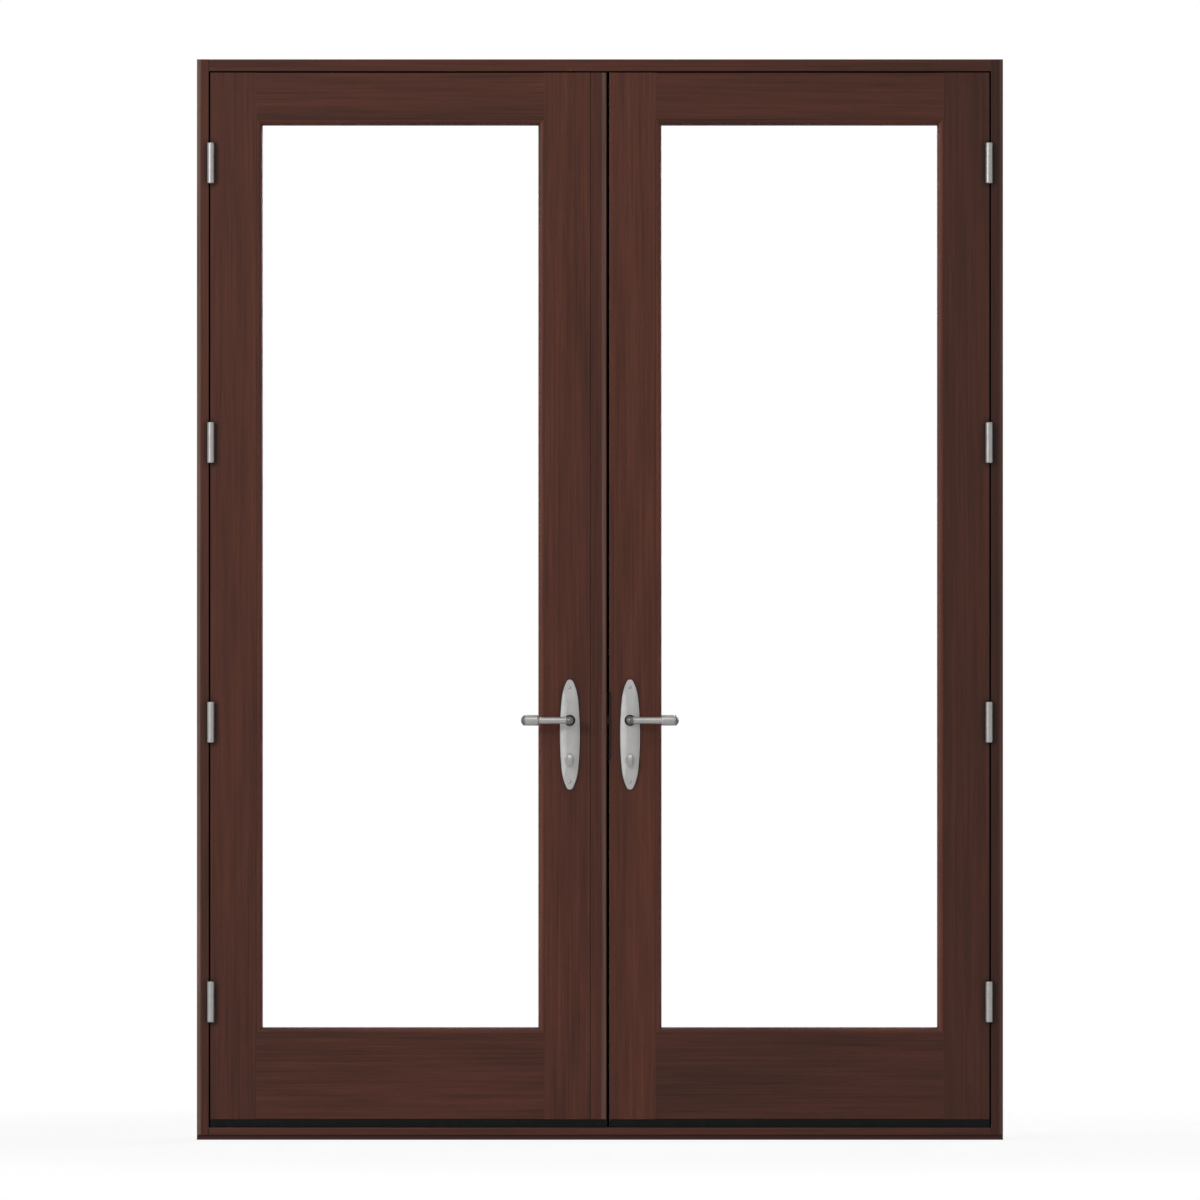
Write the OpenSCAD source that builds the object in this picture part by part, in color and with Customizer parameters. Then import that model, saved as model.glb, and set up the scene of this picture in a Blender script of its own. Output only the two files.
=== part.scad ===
// French doors with their frame: two glazed wooden leaves that swing into the room.
// The left leaf is passive and carries the astragal; the right leaf is active and carries the lock.
// +X runs to the right as seen from the room, +Y from the room to the weather side, +Z up.
// The origin is at the middle of the frame's width and depth, on the underside of the sill.
// Leaf pieces are drawn for the left leaf; the right leaf is its mirror image.

/* [Frame] */
// Overall width of the frame
frame_w = 1809.75; // [1500:0.25:2400]
// Overall height of the frame, sill included
frame_h = 2425.7; // [2000:0.1:2750]
// Depth of the frame, room face to weather face
frame_d = 116; // [108:1:180]
// Width of the jamb and head faces that show from the room
jamb_face = 27; // [24:0.5:40]
// How far the stop stands out from the rabbet
stop_h = 13; // [11:0.5:20]
// Radius on the long edges of the frame members
frame_ease = 1.5; // [0.5:0.5:4]
// Radius of the installation screw holes through the jambs
fixing_hole_r = 3; // [2:0.5:5]
// Distance of the installation holes behind the stop's face
fixing_set = 34; // [25:1:45]
// Height of the lowest installation hole
fixing_low = 240; // [150:10:400]
// Distance of the highest installation hole below the top
fixing_high = 240; // [150:10:400]

/* [Sill] */
// Height of the metal base under the jambs
base_h = 11.2; // [9:0.2:16]
// Height of the wooden sill nosing
nosing_h = 17; // [13:0.5:30]
// Depth of the wooden sill nosing
nosing_d = 14; // [10:1:18]
// Radius on the nosing's front top edge
nosing_ease = 4; // [1:0.5:8]
// Wall of the extruded threshold
threshold_wall = 3; // [2:0.5:4]
// Wall of the threshold's deck under the leaves
deck_wall = 4.5; // [3.5:0.5:6]
// How far the level deck runs past the stop's face
deck_run = 8; // [4:1:20]
// How far the sill runs out past the weather face
sill_run = 30; // [10:1:60]
// Height of the sill's outer nose
nose_h = 8.5; // [8:0.5:10]

/* [Leaves] */
// Thickness of the leaves
leaf_t = 44.45; // [42:0.05:56]
// Gap between a leaf and its jamb
side_gap = 3; // [2:0.5:5]
// Gap between the leaves and the head
head_gap = 3; // [2:0.5:5]
// Gap between the astragal and the active leaf
meeting_gap = 5; // [4:0.5:8]
// Width of the astragal on the passive leaf
astragal_w = 36.8; // [32:0.2:50]
// Radius of the astragal's room edge
astragal_nose = 4; // [1:0.5:8]
// Width of the stiles, out to the glass
stile_w = 117.5; // [100:0.5:150]
// Height of the top rail, down to the glass
top_rail_h = 118.2; // [90:0.1:160]
// Height of the bottom rail, up to the glass
bottom_rail_h = 205.7; // [140:0.1:320]
// Radius on the long edges of the leaves
leaf_ease = 2; // [0.5:0.5:4]
// Thickness of the rail tenons
tenon_t = 14; // [10:1:18]
// Length of the rail tenons
tenon_l = 45; // [25:1:48]
// Shoulder above and below a tenon
tenon_shoulder = 20; // [10:1:30]

/* [Glazing] */
// How far the rebate covers the edge of the glass
glass_cover = 14; // [12:0.5:20]
// Thickness of the fixed lip on the weather side
lip_t = 9; // [6:0.5:12]
// Thickness of each pane
pane_t = 4; // [3:0.5:6]
// Width of the air space between the panes
air_gap = 12; // [6:0.5:14]
// Thickness of the gasket between the lip and the glass
gasket_t = 1.5; // [1:0.25:3]
// Thickness of the gasket round the edge of the glass
gasket_edge = 3; // [2:0.5:5]
// Width of the spacer bar between the panes
spacer_w = 6; // [4:0.5:7]
// Distance of the spacer bar from the edge of the glass
spacer_inset = 4; // [2:0.5:5]
// Flat of the glazing bead beside the stiles and rails
bead_flat = 3.5; // [1:0.5:6]
// How far the beads lie behind the room face
bead_set = 1; // [0:0.5:3]
// Upright edge of the bead against the glass
bead_nose = 2; // [1:0.5:4]

/* [Hinges] */
// Number of hinges on each leaf
hinge_count = 4; // [3:1:5]
// Middle of the lowest hinge above the foot of the leaf
hinge_low = 263.5; // [220:0.5:320]
// Middle of the highest hinge below the top of the leaf
hinge_high = 202.7; // [180:0.5:280]
// Length of the hinge barrel
hinge_len = 91.5; // [76:0.5:110]
// Diameter of the hinge barrel
barrel_d = 15.8; // [13:0.2:20]
// Diameter of the hinge pin
pin_d = 8; // [6:0.5:9]
// Height of the round head on the hinge pin
pin_head = 3; // [2:0.5:5]
// Thickness of the hinge plates
hinge_plate_t = 2.5; // [2:0.1:3.5]
// Width of the hinge plates behind the room face
hinge_plate_w = 28; // [22:1:34]
// How far the pin lies inside the edge of the leaf
hinge_inset = 1.4; // [0.5:0.1:2.5]
// Distance between hinge screws
hinge_screw_pitch = 30; // [24:1:32]
// Side step of the middle hinge screw
hinge_screw_step = 8; // [0:1:10]
// Diameter of the hinge screws
screw_d = 4.2; // [3:0.2:5]

/* [Handles] */
// Height of the lever's axis above the floor
lever_z = 941.6; // [850:0.1:1100]
// Distance of the lever's axis from the meeting edge of the leaf
backset = 46.7; // [42:0.1:56]
// Drop from the lever's axis to the thumb turn's axis
turn_drop = 90; // [72:1:96]
// Height of the oval handle plate
plate_h = 246.8; // [240:0.1:280]
// Width of the oval handle plate
plate_w = 44.4; // [42:0.1:52]
// Radius of the plate's ends
plate_end_r = 8; // [6:0.5:10]
// Where the plate's shoulders start, as a share of its half height
plate_shoulder_up = 0.65; // [0.55:0.01:0.7]
// Width of the plate where its shoulders start, as a share of its full width
plate_shoulder_in = 0.82; // [0.78:0.01:0.86]
// Thickness of the plate's flat rim
plate_rim = 2.4; // [1.5:0.1:3]
// Thickness of the plate at its crown
plate_t = 6.5; // [5.5:0.1:9]
// Width of the plate's flat rim
plate_rim_w = 1.8; // [1:0.1:3]
// Half length of the plate's level middle
plate_level = 60; // [40:1:75]
// Height of the lever's axis above the middle of the plate
lever_rise = 31.8; // [28:0.1:36]
// Distance of the plate's screws from its ends
plate_screw_in = 17.4; // [15:0.1:19]
// Length of the lever from its axis to its tip
lever_len = 109.5; // [95:0.5:130]
// Diameter of the lever's round hub
hub_d = 18; // [17.5:0.1:22]
// Diameter of the lever's shaft
shaft_d = 15.2; // [12:0.2:17]
// Diameter of the lever's grip
grip_d = 23.4; // [18:0.2:26]
// Length of the lever's grip
grip_len = 40; // [30:1:50]
// Height of the grip's domed tip
tip_h = 6.5; // [4:0.5:9]
// Distance of the lever's bar from the face of the leaf
lever_reach = 47; // [40:1:60]
// Diameter of the lever's neck
neck_d = 16.5; // [15:0.5:17]
// Diameter of the lever's collar against the plate
collar_d = 25; // [23:0.5:30]
// Height of the lever's collar
collar_h = 5; // [3:0.5:8]
// Side of the square spindle
spindle_s = 8; // [7:0.5:9]
// How far the spindle reaches into each lever
spindle_grip = 18; // [12:1:24]
// Width of the thumb turn's blade
turn_w = 8; // [5:0.5:10]
// Height of the thumb turn's blade
turn_h = 31; // [24:1:36]
// Reach of the thumb turn's blade beyond the plate
turn_reach = 17; // [12:1:24]
// Diameter of the key cylinder on the weather side
cylinder_d = 24; // [20:1:30]

/* [Lock] */
// Thickness of the lock cases
case_t = 16; // [15:0.5:20]
// Clearance between the lock cases and the plates' screws
case_clear = 16; // [10:1:24]
// Depth of the lock cases behind the handle axes
case_back = 26; // [18:1:34]
// Thickness of the lock's face plate
face_t = 3; // [2:0.5:4]
// Width of the lock's face plate
face_w = 22; // [20:1:24]
// How far the face plate reaches past the lock case
face_over = 12; // [8:1:16]
// Height of the strike plate and of the finger relief
strike_h = 162; // [150:1:180]
// Drop from the lever's axis to the middle of the strike plate
strike_drop = 13; // [8:1:18]
// Thickness of the strike plate
strike_t = 2; // [1.5:0.5:3]
// Throw of the latch
latch_throw = 12; // [8:0.5:14]
// Thickness of the latch and the dead bolt
bolt_t = 11; // [8:0.5:13]
// Height of the latch
latch_h = 18; // [14:1:22]
// Throw of the dead bolt
dead_throw = 22; // [15:0.5:25]
// Height of the dead bolt
dead_h = 24; // [18:1:28]
// Rise from the thumb turn's axis to the middle of the dead bolt
dead_rise = 22; // [18:1:30]
// Diameter of the shoot bolts in the passive leaf
rod_d = 10; // [8:0.5:11]
// Throw of the shoot bolts
rod_throw = 20; // [14:0.5:21]
// How far the shoot bolts lie behind the middle of the leaf
rod_set = 5; // [3:0.5:7]
// Length of the keeper plates
keeper_l = 60; // [40:1:80]
// Width of the keeper plates
keeper_w = 20; // [17:1:22]
// Thickness of the keeper plates
keeper_t = 1.5; // [1:0.1:2]
// Depth of the finger relief beside the face plate
relief_d = 5.4; // [3:0.2:8]

/* [Seals] */
// Height of the sweep between the sill and the leaves
sweep_h = 18; // [12:0.5:30]
// Wall of the sweep
sweep_wall = 3; // [2:0.5:4]
// How far the sweep lies behind the room face
sweep_set = 2; // [0:0.5:6]
// Depth left between the leaves and the stop for the seal
seal_gap = 6; // [4:0.5:10]
// Width of the seal against the stop
seal_w = 10; // [8:0.5:10.5]
// Width of the kerfs that hold the seals
kerf_w = 3; // [2:0.25:4]
// Depth of the kerfs that hold the seals
kerf_depth = 8; // [5:0.5:10]
// Depth of the seal on the astragal's edge
edge_seal_d = 8; // [6:0.5:10]

/* [Fits] */
// Clearance of joinery and of hardware let into the wood
fit_clear = 0.15; // [0.05:0.05:0.4]
// Running clearance round pins and necks
run_clear = 0.06; // [0.02:0.01:0.1]
// Clearance of the seals from the faces that they meet
soft_clear = 0.4; // [0.3:0.05:1]
// Clearance of the edge seal from the active leaf
edge_seal_clear = 1.4; // [1.2:0.1:2]

/* [Hidden] */
$fn = 48;
fine = 256;                                      // segments of arcs far larger than the part
over = 1;                                        // how far a cutter runs past a face
wood = [0.30, 0.19, 0.165];
nickel = [0.66, 0.66, 0.65];
bronze = [0.16, 0.10, 0.085];
rubber = [0.095, 0.10, 0.095];
steel = [0.52, 0.53, 0.54];
clear_glass = [0.85, 0.93, 0.92, 0.35];

// Depths, from the room to the weather side
room_y = -frame_d / 2;
weather_y = frame_d / 2;
leaf_back_y = room_y + leaf_t;
leaf_mid_y = room_y + leaf_t / 2;
stop_y = leaf_back_y + seal_gap;

// Widths and heights of the opening
rabbet_x = frame_w / 2 - jamb_face;
stop_x = rabbet_x - stop_h;
head_z = frame_h - jamb_face;
sill_top = base_h + nosing_h;

// Outline of a leaf; the meeting edges lie at -meet_x and +meet_x
leaf_edge_x = rabbet_x - side_gap;
meet_x = (astragal_w + meeting_gap) / 2;
leaf_mid_x = (leaf_edge_x + meet_x) / 2;
leaf_z0 = sill_top + sweep_h;
leaf_z1 = head_z - head_gap;
leaf_h = leaf_z1 - leaf_z0;
astragal_x = astragal_w - meet_x;                // free edge of the astragal

// Glass opening of the left leaf, its rebate and its sealed unit
sight_x0 = -leaf_edge_x + stile_w;
sight_x1 = -meet_x - stile_w;
sight_z0 = leaf_z0 + bottom_rail_h;
sight_z1 = leaf_z1 - top_rail_h;
rebate_x0 = sight_x0 - glass_cover;
rebate_x1 = sight_x1 + glass_cover;
rebate_z0 = sight_z0 - glass_cover;
rebate_z1 = sight_z1 + glass_cover;
lip_y = leaf_back_y - lip_t;
outer_pane_y = lip_y - gasket_t - pane_t;
spacer_y = outer_pane_y - air_gap;
inner_pane_y = spacer_y - pane_t;
bead_y = room_y + bead_set;

// Hinges
barrel_r = barrel_d / 2;
barrel_gap = 0.4;                                // barrel to the room face
knuckle_gap = 0.4;                               // between knuckles
axis_x = leaf_edge_x - hinge_inset;
axis_y = room_y - barrel_r - barrel_gap;
knuckle_l = (hinge_len - 2 * pin_head) / 3;
hinge_pitch = (leaf_h - hinge_low - hinge_high) / (hinge_count - 1);
hinge_zs = [for (i = [0 : hinge_count - 1]) leaf_z0 + hinge_low + i * hinge_pitch];
screw_r = screw_d / 2;
screw_end_cover = 3;                             // wood left beyond a screw's point
screw_l = jamb_face - hinge_plate_t - screw_end_cover;
screw_y = room_y + hinge_plate_w / 2;

// Handles and lock
handle_x = -meet_x - backset;
turn_z = lever_z - turn_drop;
plate_z = lever_z - lever_rise;
strike_z = lever_z - strike_drop;
dead_z = turn_z + dead_rise;
plate_screw_dz = plate_h / 2 - plate_screw_in;
plate_screw_r = 2.2;
plate_drop = plate_t - plate_rim - 1;            // fall of the crown from its middle to its edge
plate_fall_l = plate_h / 2 - plate_rim_w - plate_level;
plate_long_r = (plate_fall_l * plate_fall_l + plate_drop * plate_drop) / (2 * plate_drop);
crown_rise = 0.4;                                // top of the crown's side curve over its level middle
boss_t = plate_t + 0.4;                          // top of the bosses under the collar, rose and cylinder

// Height of the plate's crown at a distance up or down from its middle
function plate_height(v) =
  let (run = max(0, abs(v) - plate_level))
  plate_t - plate_long_r + sqrt(plate_long_r * plate_long_r - run * run);

case_z0 = plate_z - plate_screw_dz + plate_screw_r + case_clear;
case_z1 = plate_z + plate_screw_dz - plate_screw_r - case_clear;
face_z0 = case_z0 - face_over;
face_z1 = case_z1 + face_over;
case_end_x = handle_x - case_back;
spindle_hole_r = spindle_s * 0.75;
turn_stem_r = 4.5;
rose_r = 12;                                     // round foot of the thumb turn
tail_w = 6;                                      // thumb turn's tail, across
tail_t = 3;                                      // thumb turn's tail, thickness
tail_hole_r = turn_stem_r + 0.5;
latch_in = 20;                                   // latch left behind the face plate
dead_in = 32;                                    // dead bolt left behind the face plate
pocket_end = 1.5;                                // room behind and before a bolt
strike_lip = 4;                                  // how far the strike's lip stops short of the room face

// Shoot bolts run in a channel in the passive leaf's edge, behind the astragal
channel_d = rod_d + 1.5;
rod_x = -meet_x - channel_d / 2;
rod_y = leaf_mid_y + rod_set;
rod_split = 2;                                   // gap between the two shoot bolts
rod_tip = 2;                                     // tapered end of a shoot bolt
rod_drop = 1;                                    // shoot bolt drawn in below the top of the leaf
rod_top_z = leaf_z1 - rod_drop;
head_bore = rod_throw - head_gap - rod_drop + pocket_end;
rod_lift = 2.5;                                  // shoot bolt drawn up above the sweep's foot
rod_foot_z = sill_top + soft_clear + rod_lift;
keeper_clear = 1;                                // room round a shoot bolt in its keeper
keeper_hole_r = rod_d / 2 + keeper_clear;

// Helpers

// Draws its children on the left leaf, or mirrored on the right one
module on_leaf(active) { mirror([active ? 1 : 0, 0, 0]) children(); }

// Mirrors a room side piece to the weather side of the leaf
module on_weather_side() { translate([0, 2 * leaf_mid_y, 0]) mirror([0, 1, 0]) children(); }

// Extrudes a section drawn in (Y, Z) along +X
module along_x(len) { rotate([90, 0, 90]) linear_extrude(len) children(); }

// Extrudes an outline drawn in (X, Z) from depth y towards the room
module to_room(y, len) { translate([0, y, 0]) rotate([90, 0, 0]) linear_extrude(len) children(); }

// Stands its children, drawn along +Z, on the room face at a point, so that they point into the room
module off_face(x, z) { translate([x, room_y, z]) rotate([90, 0, 0]) children(); }

// A box between two corners
module span(low, high) { translate(low) cube(high - low); }

// Cutter that rounds a square corner; the material lies towards dir
module corner_cut(at, dir, r) {
  translate(at) difference() {
    translate([dir.x > 0 ? -over : -r, dir.y > 0 ? -over : -r]) square(r + over);
    translate(dir * r) circle(r);
  }
}

// A rectangular ring lying upright: outer corners grown from the glass edge, depth from y0 to y1
module upright_ring(grow_out, grow_in, y0, y1) {
  difference() {
    span([sight_x0 - grow_out, y0, sight_z0 - grow_out],
         [sight_x1 + grow_out, y1, sight_z1 + grow_out]);
    span([sight_x0 - grow_in, y0 - over, sight_z0 - grow_in],
         [sight_x1 + grow_in, y1 + over, sight_z1 + grow_in]);
  }
}

// Frame

// Section of jamb and head, in (depth, distance from the outer face)
module frame_section() {
  full = jamb_face + stop_h;
  difference() {
    union() {
      translate([room_y, 0]) square([frame_d, jamb_face]);
      translate([stop_y, 0]) square([weather_y - stop_y, full]);
    }
    corner_cut([room_y, 0], [1, 1], frame_ease);
    corner_cut([room_y, jamb_face], [1, -1], frame_ease);
    corner_cut([stop_y, full], [1, -1], frame_ease);
    corner_cut([weather_y, full], [-1, -1], frame_ease);
    corner_cut([weather_y, 0], [-1, 1], frame_ease);
    translate([stop_y - over, jamb_face + (seal_w - kerf_w) / 2]) square([kerf_depth + over, kerf_w]);
  }
}

// Section of the frame's seal, in the same plane as the frame's section: the bulb, and the barb in the kerf
module seal_bulb() {
  depth = seal_gap - soft_clear;
  bulb_r = depth / 3;
  difference() {
    translate([stop_y - depth, jamb_face + soft_clear]) square([depth, seal_w - soft_clear]);
    corner_cut([stop_y - depth, jamb_face + soft_clear], [1, 1], bulb_r);
    corner_cut([stop_y - depth, jamb_face + seal_w], [1, -1], bulb_r);
  }
}

module seal_barb() {
  translate([stop_y - over, jamb_face + (seal_w - kerf_w) / 2 + fit_clear])
    square([kerf_depth - fit_clear + over, kerf_w - 2 * fit_clear]);
}

// Turns a section in (depth, distance from the outer face) to the left jamb's plan
module left_side() { translate([-frame_w / 2, 0]) mirror([1, -1, 0]) children(); }

fixing_zs = [for (i = [0 : 3]) fixing_low + i * (frame_h - fixing_low - fixing_high) / 3];

module jamb() {
  color(wood) difference() {
    translate([0, 0, base_h]) linear_extrude(frame_h - base_h) left_side() frame_section();
    for (z = hinge_zs) translate([0, 0, z]) {
      hinge_recess(-rabbet_x - hinge_plate_t, -rabbet_x + over);
      translate([-rabbet_x, 0, 0]) hinge_screw_places(-1) screw_hole();
    }
    for (z = fixing_zs) translate([-frame_w / 2 - over, stop_y + fixing_set, z])
      rotate([0, 90, 0]) cylinder(r = fixing_hole_r, h = jamb_face + stop_h + 2 * over);
  }
}

module head_jamb() {
  color(wood) difference() {
    translate([-rabbet_x, 0, frame_h]) along_x(2 * rabbet_x) mirror([0, 1, 0]) frame_section();
    for (side = [-1, 1]) mirror([side > 0 ? 1 : 0, 0, 0])
      span([-rabbet_x - over, stop_y, 0], [-stop_x, weather_y + over, frame_h + over]);
    keeper_place(head_z) keeper_recess();
    translate([rod_x, rod_y, head_z - over]) cylinder(r = keeper_hole_r, h = head_bore + over);
  }
}

module frame_weatherstrip() {
  color(rubber) {
    for (side = [0, 1]) mirror([side, 0, 0])
      translate([0, 0, sill_top + soft_clear])
        linear_extrude(head_z - sill_top - 2 * soft_clear) left_side() {
          seal_bulb();
          seal_barb();
        }
    bulb_end = rabbet_x - seal_w - soft_clear;
    barb_end = stop_x - fit_clear;
    translate([-bulb_end, 0, frame_h]) along_x(2 * bulb_end) mirror([0, 1, 0]) seal_bulb();
    translate([-barb_end, 0, frame_h]) along_x(2 * barb_end) mirror([0, 1, 0]) seal_barb();
  }
}

// Sill

deck_y = stop_y + deck_run;                      // end of the level deck
sill_end_y = weather_y + sill_run;
sill_fall = (sill_top - nose_h) / (sill_end_y - deck_y);

function sill_z(y) = sill_top - max(0, y - deck_y) * sill_fall;

module threshold_section() {
  lip_z = base_h / 2;
  lip_set = 5;
  back = room_y + nosing_d;
  slope_0 = deck_y + threshold_wall;
  slope_1 = sill_end_y - threshold_wall - over;
  difference() {
    polygon([[room_y, 0], [sill_end_y, 0], [sill_end_y, nose_h], [deck_y, sill_top],
             [back, sill_top], [back, base_h], [room_y + lip_set, base_h], [room_y + lip_set, lip_z],
             [room_y, lip_z]]);
    translate([back + threshold_wall, threshold_wall])
      square([deck_y - back - threshold_wall, sill_top - threshold_wall - deck_wall]);
    polygon([[slope_0, threshold_wall], [slope_1, threshold_wall],
             [slope_1, sill_z(slope_1) - threshold_wall],
             [slope_0, sill_z(slope_0) - threshold_wall - over]]);
  }
}

module threshold() {
  color(bronze) difference() {
    translate([-frame_w / 2, 0, 0]) along_x(frame_w) threshold_section();
    for (side = [0, 1]) mirror([side, 0, 0]) {
      span([-frame_w / 2 - over, room_y - over, base_h], [-rabbet_x, weather_y, frame_h]);
      span([-frame_w / 2 - over, stop_y, base_h], [-stop_x, weather_y, frame_h]);
    }
    keeper_place(sill_top) mirror([0, 0, 1]) keeper_recess();
    translate([rod_x, rod_y, base_h]) cylinder(r = keeper_hole_r, h = nosing_h + over);
  }
}

module sill_nosing() {
  color(wood) translate([-rabbet_x, 0, 0]) along_x(2 * rabbet_x) difference() {
    translate([room_y, base_h]) square([nosing_d, nosing_h]);
    corner_cut([room_y, sill_top], [1, -1], nosing_ease);
  }
}

// Keeper plates for the shoot bolts, let flush into the head and the sill

module keeper_place(z) { translate([rod_x, rod_y, z]) children(); }

module keeper_recess() {
  translate([0, 0, keeper_t / 2 - over / 2]) cube([keeper_l, keeper_w, keeper_t + over], center = true);
}

module keeper() {
  difference() {
    translate([0, 0, keeper_t / 2])
      cube([keeper_l - 2 * fit_clear, keeper_w - 2 * fit_clear, keeper_t], center = true);
    translate([0, 0, -over]) cylinder(r = keeper_hole_r, h = keeper_t + 2 * over);
  }
}

module bolt_keepers() {
  color(steel) {
    keeper_place(head_z) keeper();
    keeper_place(sill_top) mirror([0, 0, 1]) keeper();
  }
}

// Hinges: three knuckles on a loose pin, one plate let into the jamb and one into the leaf

// Plate let into a face square to X, with its height round z = 0
module hinge_recess(x0, x1) {
  span([x0, room_y - over, -hinge_len / 2], [x1, room_y + hinge_plate_w, hinge_len / 2]);
}

module hinge_screw_places(dir) {
  for (i = [-1 : 1])
    translate([0, screw_y + (i == 0 ? hinge_screw_step : -hinge_screw_step) / 2, i * hinge_screw_pitch])
      rotate([0, 90 * dir, 0]) children();
}

// Countersunk wood screw along +Z, its head flush at z = 0
module screw() {
  rotate_extrude() polygon([[0, 0], [2 * screw_r, 0], [screw_r, screw_r], [screw_r, screw_l - screw_d],
                            [0, screw_l]]);
}

// The same outline with clearance, for the plate and the wood
module screw_hole() {
  c = fit_clear;
  rotate_extrude() polygon([[0, -over], [2 * screw_r + c, -over], [2 * screw_r + c, 0],
                            [screw_r + c, screw_r], [screw_r + c, screw_l + c], [0, screw_l + c]]);
}

// One half of a hinge: plate_x is the plate's face nearer the jamb, knuckles the ones that it carries
module hinge_half(plate_x, knuckles, dir, face_x) {
  difference() {
    union() {
      span([plate_x, room_y, -hinge_len / 2 + fit_clear],
           [plate_x + hinge_plate_t, room_y + hinge_plate_w - fit_clear, hinge_len / 2 - fit_clear]);
      for (k = knuckles) translate([0, 0, (k - 1) * knuckle_l]) {
        translate([-axis_x, axis_y, 0])
          cylinder(r = barrel_r, h = knuckle_l - knuckle_gap, center = true);
        span([plate_x, axis_y, -(knuckle_l - knuckle_gap) / 2],
             [plate_x + hinge_plate_t, room_y + over, (knuckle_l - knuckle_gap) / 2]);
      }
    }
    translate([-axis_x, axis_y, -hinge_len]) cylinder(d = pin_d, h = 2 * hinge_len);
    translate([face_x, 0, 0]) hinge_screw_places(dir) screw_hole();
  }
}

module frame_hinge_plates() {
  color(nickel) for (z = hinge_zs) translate([0, 0, z])
    hinge_half(-rabbet_x - hinge_plate_t, [0, 2], -1, -rabbet_x);
}

module leaf_hinge_plates() {
  color(nickel) for (z = hinge_zs) translate([0, 0, z])
    hinge_half(-leaf_edge_x, [1], 1, -leaf_edge_x);
}

module hinge_pin() {
  r = pin_d / 2 - run_clear;
  l = 3 * knuckle_l / 2;
  rotate_extrude() {
    translate([0, -l]) square([r, 2 * l]);
    pin_end(l);
    mirror([0, 1, 0]) pin_end(l);
  }
}

// Half outline of the round head that closes an end of the barrel
module pin_end(l) {
  difference() {
    translate([0, l]) square([barrel_r, pin_head]);
    corner_cut([barrel_r, l + pin_head], [-1, -1], pin_head * 0.7);
  }
}

module hinge_pins() {
  color(nickel) for (side = [0, 1], z = hinge_zs) mirror([side, 0, 0])
    translate([-axis_x, axis_y, z]) hinge_pin();
}

module frame_hinge_screws() {
  color(steel) for (side = [0, 1], z = hinge_zs) mirror([side, 0, 0])
    translate([-rabbet_x, 0, z]) hinge_screw_places(-1) screw();
}

module leaf_hinge_screws() {
  color(steel) for (z = hinge_zs) translate([-leaf_edge_x, 0, z]) hinge_screw_places(1) screw();
}

// Leaves: stiles run full height, rails are tenoned between them

// Plan of the hinge stile, with the fixed lip for the glass on the weather side
module stile_section() {
  x = -leaf_edge_x;
  difference() {
    union() {
      translate([x, room_y]) square([stile_w - glass_cover, leaf_t]);
      translate([x, lip_y]) square([stile_w, lip_t]);
    }
    corner_cut([x, room_y], [1, 1], leaf_ease);
    corner_cut([x, leaf_back_y], [1, -1], leaf_ease);
    corner_cut([x + stile_w, leaf_back_y], [-1, -1], 2 * leaf_ease);
  }
}

// Section of the bottom rail in (Y, Z)
module rail_section(h) {
  difference() {
    union() {
      translate([room_y, 0]) square([leaf_t, h - glass_cover]);
      translate([lip_y, 0]) square([lip_t, h]);
    }
    corner_cut([room_y, 0], [1, 1], leaf_ease);
    corner_cut([leaf_back_y, 0], [-1, 1], leaf_ease);
    corner_cut([leaf_back_y, h], [-1, -1], 2 * leaf_ease);
  }
}

// Tenons at both ends of a rail whose foot is at z = 0, grown by a clearance for the mortises
module tenons(h, grow) {
  core = h - glass_cover;
  for (end = [rebate_x0 - tenon_l, rebate_x1])
    span([end - grow, leaf_mid_y - tenon_t / 2 - grow, tenon_shoulder - grow],
         [end + tenon_l + grow, leaf_mid_y + tenon_t / 2 + grow, core - tenon_shoulder + grow]);
}

module rail(h) {
  difference() {
    translate([rebate_x0, 0, 0]) along_x(rebate_x1 - rebate_x0) rail_section(h);
    span([rebate_x0 - over, lip_y, -over], [sight_x0, leaf_back_y + over, h + over]);
    span([sight_x1, lip_y, -over], [rebate_x1 + over, leaf_back_y + over, h + over]);
  }
  tenons(h, 0);
}

module at_top() { translate([0, 0, leaf_z1]) mirror([0, 0, 1]) children(); }

module bottom_rail() {
  color(wood) difference() {
    translate([0, 0, leaf_z0]) rail(bottom_rail_h);
    sweep_kerf();
  }
}

module top_rail() { color(wood) at_top() rail(top_rail_h); }

// Cuts that both stiles share: the mortises and the kerf for the sweep
module stile_cuts() {
  translate([0, 0, leaf_z0]) tenons(bottom_rail_h, fit_clear);
  at_top() tenons(top_rail_h, fit_clear);
  sweep_kerf();
}

module hinge_stile() {
  color(wood) difference() {
    translate([0, 0, leaf_z0]) linear_extrude(leaf_h) stile_section();
    stile_cuts();
    for (z = hinge_zs) translate([0, 0, z]) {
      hinge_recess(-leaf_edge_x - over, -leaf_edge_x + hinge_plate_t);
      translate([-leaf_edge_x, 0, 0]) hinge_screw_places(1) screw_hole();
    }
  }
}

module plain_meeting_stile() {
  translate([-2 * leaf_mid_x, 0, leaf_z0]) mirror([1, 0, 0]) linear_extrude(leaf_h) stile_section();
}

// A bore through the leaf on the handle's centre line
module leaf_bore(z, r) {
  off_face(handle_x, z) translate([0, 0, -leaf_t - over]) cylinder(r = r, h = leaf_t + 2 * over);
}

// Holes through the stile for the spindle, the thumb turn's tail and the plate's screws
module handle_holes() {
  leaf_bore(lever_z, spindle_hole_r);
  leaf_bore(turn_z, tail_hole_r);
  for (s = [-1, 1]) leaf_bore(plate_z + s * plate_screw_dz, plate_screw_r + fit_clear);
}

module passive_meeting_stile() {
  color(wood) difference() {
    plain_meeting_stile();
    stile_cuts();
    handle_holes();
    case_space(channel_d);
    span([-meet_x - channel_d, rod_y - channel_d / 2, leaf_z0 - over],
         [-meet_x + over, rod_y + channel_d / 2, leaf_z1 + over]);
  }
}

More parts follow.
